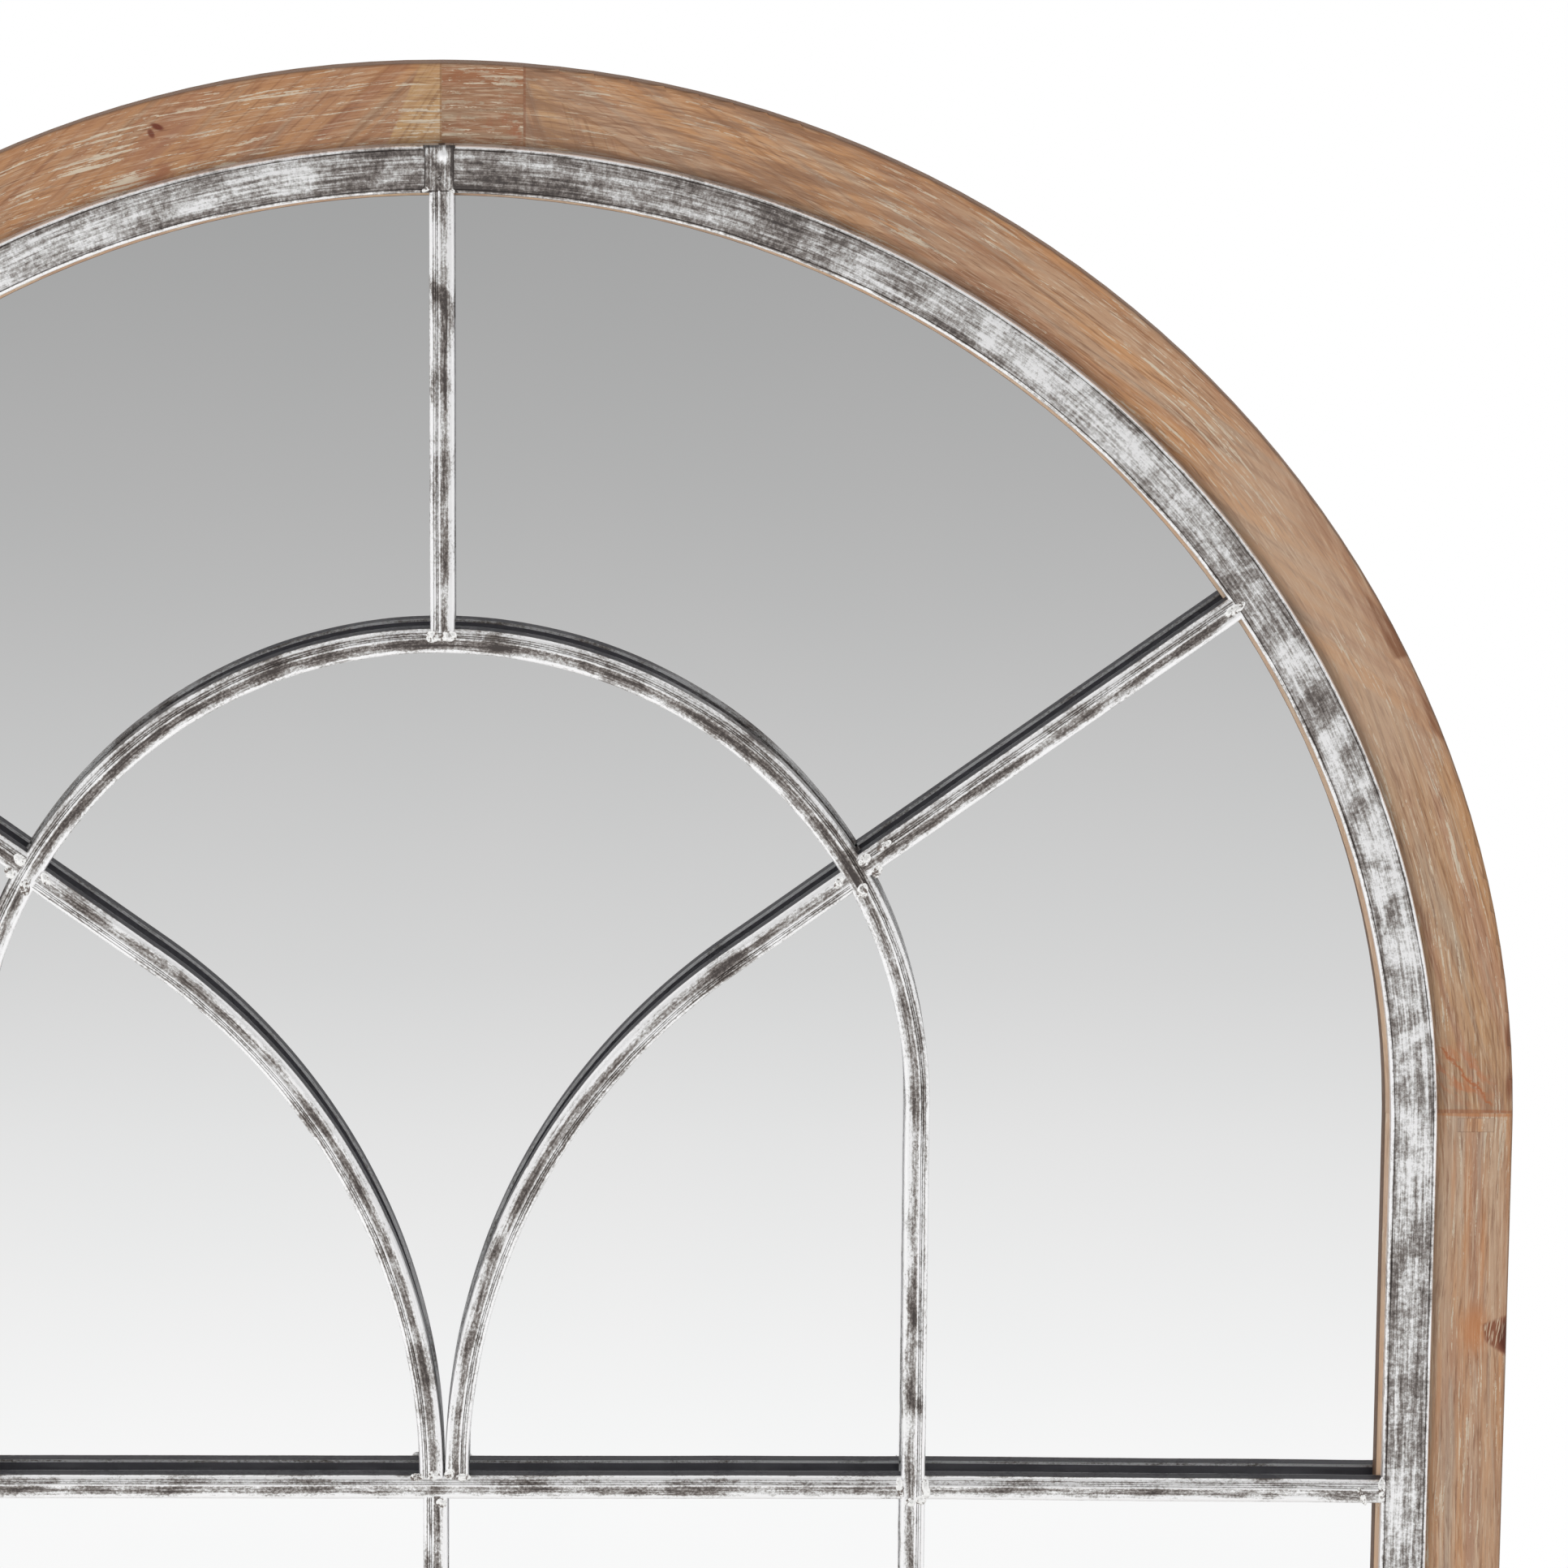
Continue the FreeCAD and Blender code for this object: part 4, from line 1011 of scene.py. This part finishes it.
# %% The welded strap at the crown
def crown_strap(across=30, tall=44, low=426.8, high=447.8, middle=-1.0):
    """A low strap of weld over the ring, wider at its foot, with a bright boss and a pinhole."""
    bm = bmesh.new()
    run, inward, polish_and_shade, _ = (bm.verts.layers.float.new(name) for name in ("run", "inward", "polish_and_shade", "hidden"))
    rows = []
    for t in (j / tall for j in range(tall + 1)):
        z = low + (high - low) * t
        half = 7.0 + 1.4 * max(0.0, 1 - t / 0.16) ** 1.6
        rows.append([])
        for u in (2 * i / across - 1 for i in range(across + 1)):
            x = middle + half * u
            boss = math.exp(-((x - 0.9) / 2.5) ** 2 - ((z - 443.4) / 2.6) ** 2)
            pinhole = math.exp(-((x + 1.0) / 0.75) ** 2 - ((z - 433.1) / 0.75) ** 2)
            rim = min(1.0, (1 - abs(u)) * 6, t * 16, (1 - t) * 16)
            rise = rim * (0.40 + 0.50 * boss - 0.45 * pinhole + 0.05 * math.sin(x * 2.7 + 0.4 * z))
            vertex = bm.verts.new(at(x, spring_z + z, metal_front + 0.12 - rise))
            vertex[run], vertex[inward] = (47000 + z) * MM, (x - 4.5) * MM
            # the strap's edge and its pinhole are painted dark: painted shade along the edge, where it meets the
            # ring, and in the pit
            vertex[polish_and_shade] = 2.6 * boss - 2.6 * pinhole - 0.8 * (rim < 0.9)
            rows[-1].append(vertex)
    for lower, upper in zip(rows, rows[1:]):
        for i in range(across):
            bm.faces.new((lower[i], lower[i + 1], upper[i + 1], upper[i]))
    bmesh.ops.holes_fill(bm, edges=[edge for edge in bm.edges if edge.is_boundary], sides=0)
    bmesh.ops.recalc_face_normals(bm, faces=bm.faces)
    strap = plain_piece("grille_crown_strap", mesh_from(bm, "crown_strap"))
    strap.data.materials.append(silvered("silvered_strap", bar_pattern, bias=-0.13))
    soften(strap.data, 50.0)
    hand_over(strap, "root", "weld_beads")


crown_strap()

# %% [markdown]
# ## Mirror glass
# One sheet of float glass, silvered and painted grey on its back. Its face is
# the only true mirror here: a metal with almost no roughness, very slightly
# uneven where it was wiped. The narrow polished edge is greenish.

# %% Mirror
def mirror_finish():
    finish, place = new_finish("mirror_face")
    wiped = place.cloud(9, 3)
    colour = wiped.mask(0.3, 0.7).pick((0.945, 0.95, 0.95, 1), (0.955, 0.955, 0.955, 1))
    close_finish(colour, wiped.mask(0.4, 0.8, 0, 0.012), 1)
    return finish


FACE, EDGE, BACK = 0, 1, 2
glass = sanded_copy("mirror_sheet", "mirror_glass", 0.3, mirror_finish(), sharp_deg=20.0)
glass.data.materials.append(clouded_finish("glass_edge", 60, 2.0, (86, 122, 112), (108, 140, 130), 0.25, 0.05))
glass.data.materials.append(clouded_finish("mirror_back_paint", 25, 4.0, (92, 96, 98), (104, 107, 108), 0.55, 0.05))
for face in glass.data.polygons:
    face.material_index = FACE if face.normal.y < -0.99 else BACK if face.normal.y > 0.99 else EDGE

# %% [markdown]
# ## Backing board and packing
# The back is closed with a thin fibreboard, pressed from wood fibre: brown,
# with darker flecks and a few paler strands. A sheet of white foam sits
# between it and the glass.

# %% Board and foam
def board_finish():
    finish, place = new_finish("fibreboard")
    fleck = place.cloud((900, 900, 700), 4, 0.7)
    strand = place.cloud((900, 900, 120), 2, shift=2)
    colour = fleck.mask(0.35, 0.68).pick(tone(124, 92, 64), tone(162, 127, 92)).coats(
        (place.cloud((6, 6, 9), 3).mask(0.35, 0.7, 0, 0.35), (142, 112, 84)),
        (strand.mask(0.62, 0.7, 0, 0.4), (192, 160, 122)))
    close_finish(colour, 0.78, height=fleck, bump_mm=0.15, bump=0.4)
    return finish


def foam_finish():
    finish, place = new_finish("white_foam")
    cells = place.into("ShaderNodeTexVoronoi", {"Scale": 700.0}, "Distance")
    colour = cells.mask(0.1, 0.6).pick(tone(214, 216, 214), tone(234, 235, 233))
    close_finish(colour, 0.85, height=cells, bump_mm=0.2)
    return finish


sanded_copy("fibre_backing", "backing_board", 0.4, board_finish())
sanded_copy("foam_packing", "foam_sheet", 0.15, foam_finish())

# %% [markdown]
# ## Zinc-plated hardware
# Screws, straps and D-rings are cheap zinc-plated steel: pale, slightly blue,
# with a cloudy sheen. One screw is built as a mesh, thread and cross recess
# included, and Geometry Nodes set it at every place where the board or a
# strap is screwed down.

# %% Hardware finishes
def plated_finish(name, dark, light, rough):
    finish, place = new_finish(name)
    colour = place.cloud(260, 4, 0.6).mask(0.35, 0.65).pick(tone(*dark), tone(*light))
    scratch = place.cloud((2400, 900, 260), 2)
    close_finish(colour, scratch.mask(0.3, 0.7, rough, rough + 0.16), 0.9, height=scratch, bump_mm=0.03, bump=0.4)
    return finish


ZINC = plated_finish("zinc_plate", (174, 177, 184), (204, 206, 210), 0.32)
BARE_STEEL = plated_finish("bare_steel", (104, 100, 98), (150, 146, 142), 0.42)
RUBBER = clouded_finish("bumper_rubber", 500, 3.0, (46, 46, 48), (62, 62, 64), 0.7, 0.08)
BEECH = clouded_finish("dowel_beech", 500, 3.0, (198, 164, 124), (220, 190, 152), 0.6, 0.1, spread=0.15)


# %% One wood screw and one machine screw
def round_body(name, rows, around):
    """A closed body round its Z axis. Rows run from the top down: (z, radius), or with a third value, a
    function that says how much further out the surface lies at each angle."""
    bm = bmesh.new()
    angles = [2 * math.pi * i / around for i in range(around)]
    rings = []
    for z, radius, *wave in rows:
        radii = [(radius + (wave[0](a) if wave else 0.0)) * MM for a in angles]
        rings.append([bm.verts.new((r * math.cos(a), r * math.sin(a), z * MM)) for r, a in zip(radii, angles)])
    for upper, lower in zip(rings, rings[1:]):
        for i in range(around):
            after = (i + 1) % around
            bm.faces.new((upper[i], lower[i], lower[after], upper[after]))
    bm.faces.new(rings[0])
    bm.faces.new(list(reversed(rings[-1])))
    return mesh_from(bm, name)


def screw_mesh(name, core, shank_r, length, head_r, head_t, pitch, around=20, countersunk=True, bare=0.0):
    """Head up at z = 0, tip down. The thread is a wave that climbs."""
    def thread(z, ridge):
        def wave(a):
            phase = (z / pitch + a / (2 * math.pi)) % 1.0
            return ridge * max(0.0, 1 - abs(phase - 0.5) * 4)
        return wave

    under_head = [(-head_t + 0.1, head_r), (-head_t, head_r - 0.1)]
    rows = [(0.0, head_r - 0.15), (-0.12, head_r)] + ([] if countersunk else under_head) + [(-head_t, shank_r)]
    threaded, point_l = length - head_t - bare, 3.0
    count = max(12, int(threaded / pitch * 5))
    for i in range(count + 1):
        z = -head_t - bare - threaded * i / count
        taper = min(1.0, (length + z) / point_l) if countersunk else 1.0
        rows.append((z, max(0.12, core * taper), thread(z, (shank_r - core) * taper)))
    return round_body(name, rows, around)


def cross_recess(blank, wide, long, deep):
    """Cuts a tapered cross into the head."""
    bm = bmesh.new()
    for turn in (0, 90):
        made = bmesh.ops.create_cube(bm, size=1.0)["verts"]
        for v in made:
            taper = 1.0 if v.co.z > 0 else 0.55
            v.co = Vector((v.co.x * long * taper, v.co.y * wide * taper, v.co.z * deep * 2)) * MM
        bmesh.ops.rotate(bm, verts=made, matrix=Matrix.Rotation(math.radians(turn), 3, "Z"))
    cutter, body = plain_piece("recess", mesh_from(bm, "recess")), plain_piece("screw_blank", blank)
    cut = body.modifiers.new("recess", "BOOLEAN")
    cut.object, cut.operation, cut.solver, cut.use_self = cutter, "DIFFERENCE", "EXACT", True
    done = evaluated_mesh(body)
    bpy.data.objects.remove(cutter)
    soften(done, 40.0)
    return done


wood_screw = cross_recess(screw_mesh("wood_screw", 1.2, 1.72, 16.0, 3.45, 2.2, 1.5), 0.9, 3.8, 1.3)
machine_screw = cross_recess(screw_mesh("machine_screw", 1.62, 1.97, 18.55, 3.75, 2.6, 0.7, around=16,
                                        countersunk=False, bare=8.6), 1.0, 4.2, 1.5)
print("screw faces:", len(wood_screw.polygons), len(machine_screw.polygons))


# %% Copies at every place
def set_out_tree():
    tree, (points, one, seed, spin, finish) = open_tree("set_out", ("Copy", "Object"), ("Seed", "Int"),
                                                        ("Spin", "Float"))
    drawn = put(tree, "FunctionNodeRandomValue", {"Max": spin, "Seed": seed}, data_type="FLOAT")
    own = Signal(next(socket for socket in drawn.outputs if socket.enabled))
    head_back = join(tree, -math.pi / 2, 0.0, 0.0).into("FunctionNodeEulerToRotation")
    about = join(tree, 0.0, 0.0, own).into("FunctionNodeEulerToRotation")
    turn = head_back.into("FunctionNodeRotateRotation", {1: about}, rotation_space="LOCAL")
    points = points.into("GeometryNodeMeshToPoints")
    one = one.into("GeometryNodeObjectInfo", output="Geometry")
    return close_tree(points.into("GeometryNodeInstanceOnPoints", {"Instance": one, "Rotation": turn}), finish)


SET_OUT = set_out_tree()
FULL_TURN = 6.28


def set_out(name, node, copy_mesh, places, finish, seed=3):
    """Copies of one mesh, head towards the back, at (x, z, y) in millimetres, each spun by chance."""
    one = plain_piece(name + "_one", copy_mesh)
    piece = grown(name, points_mesh(name, [at(*place) for place in places]), SET_OUT, copy=one, seed=seed,
                  spin=FULL_TURN, finish=finish)
    bpy.data.objects.remove(one)
    hand_over(piece, "root", node)


def spread(first, last, count):
    return [first + (last - first) * k / (count - 1) for k in range(count)]


def around_frame(inset, on_arch, heights, along_rail, y):
    """Places round the frame: on the head, up both stiles and along the rail."""
    r = half_w - inset
    angles = [math.pi * (k + 0.5) / on_arch for k in range(on_arch)]
    points = [(r * math.cos(a), spring_z + r * math.sin(a), y) for a in angles]
    points += [(side * r, z, y) for side in (-1, 1) for z in heights]
    return points + [(x, inset, y) for x in along_rail]


board_places = around_frame(25.0, 6, spread(125.0, spring_z - 330.0, 3), spread(-240.0, 240.0, 3), board_back)
lug_places = around_frame(43.0, 4, spread(210.0, spring_z - 190.0, 3), (-160.0, 160.0), wood_back)
hanger_x, hanger_z = half_w - 32.0, spring_z - 75.0
strap_places = [(side * hanger_x, hanger_z - drop, board_back + 1.5) for side in (-1, 1) for drop in (24.0, 42.0)]
set_out("board_screw_set", "board_screws", wood_screw, board_places, ZINC)
set_out("hanger_screw_set", "hanger_screws", wood_screw, strap_places, ZINC, seed=5)
set_out("grille_screw_set", "ring_fixing_screws", machine_screw, lug_places, ZINC, seed=8)

# %% [markdown]
# ## Hangers and bumpers
# A D-ring hanger is a strip of steel folded round a bent wire. The wire is one
# piece whose ends meet inside the fold. It is a path again, so the same idea
# as for the bars makes it: a round profile swept along it. Two rubber bumpers
# keep the lower corners off the wall.

# %% Straps
for side in ("left", "right"):
    sanded_copy("strap_" + side, "hanger_strap_" + side, 0.2, ZINC)


# %% D-rings
def wire_tree():
    tree, (path, radius, around, finish) = open_tree("bent_wire", ("Wire radius", "Float"), ("Around", "Int"))
    wire = signal(tree, "GeometryNodeCurvePrimitiveCircle", {"Resolution": around, "Radius": radius})
    path = path.into("GeometryNodeMeshToCurve")
    return close_tree(path.into("GeometryNodeCurveToMesh", {"Profile Curve": wire, "Fill Caps": True}), finish)


WIRE = wire_tree()
wire_r, loop_r, corner_r, gap = 1.5, 13.0, 4.0, 0.1
flat, eye_y = loop_r - corner_r, board_back + 3.3
for side, name in ((-1, "left"), (1, "right")):
    cx, cz = side * hanger_x, hanger_z
    middle_z = cz - corner_r
    outline = ([(cx + gap, cz)] + arc(cx + flat, middle_z, corner_r, 90, 0, 10)
               + arc(cx, middle_z, loop_r, 0, -180, 40)
               + arc(cx - flat, middle_z, corner_r, 180, 90, 10) + [(cx - gap, cz)])
    path = points_mesh("d_path", [at(x, z, eye_y) for x, z in outline], joined=True)
    ring = grown("d_ring_" + name, path, WIRE, wire_radius=wire_r * MM, around=20, finish=ZINC)
    bm = bmesh.new()
    bm.from_mesh(ring.data)
    bmesh.ops.remove_doubles(bm, verts=bm.verts, dist=1e-7)
    bm.to_mesh(ring.data)
    bm.free()
    soften(ring.data, 40.0)
    hand_over(ring, "hook_ring_" + name, "hanger_ring_" + name)


# %% Bumpers
def bumper_mesh(radius=7.0, tall=6.6, edge=2.0, around=40):
    """A round pad with a rounded rim and a shallow dimple on top."""
    rows = [(tall - 0.7, 0.8), (tall - 0.5, 2.2), (tall, 3.0)]
    rows += [(tall - edge + edge * math.cos(a), radius - edge + edge * math.sin(a))
             for a in (math.pi / 2 * i / 8 for i in range(9))]
    mesh = round_body("bumper", rows + [(0.3, radius), (0.0, radius - 0.25)], around)
    soften(mesh, 40.0)
    return mesh


set_out("bumper_pair", "wall_bumpers", bumper_mesh(),
        [(side * (half_w - 40.0), 40.0, board_back) for side in (-1, 1)], RUBBER)

# %% [markdown]
# ## Pieces inside the frame
# The dowels, lugs and washers are out of sight, and their solids are already
# right. They keep their solids and get their own finish.

# %% Inner pieces
for node, finish in (("joint_dowels", BEECH), ("ring_fixing_lugs", BARE_STEEL), ("ring_fixing_washers", ZINC)):
    solid = frame["nodes"][node]
    solid.data.materials.clear()
    solid.data.materials.append(finish)
    print(node, "keeps its solid with", finish.name)

# %% [markdown]
# ## Finish
# The view transform stays plain, so that a colour renders as it is written.

# %% Finish
bpy.context.scene.view_settings.view_transform = "Standard"
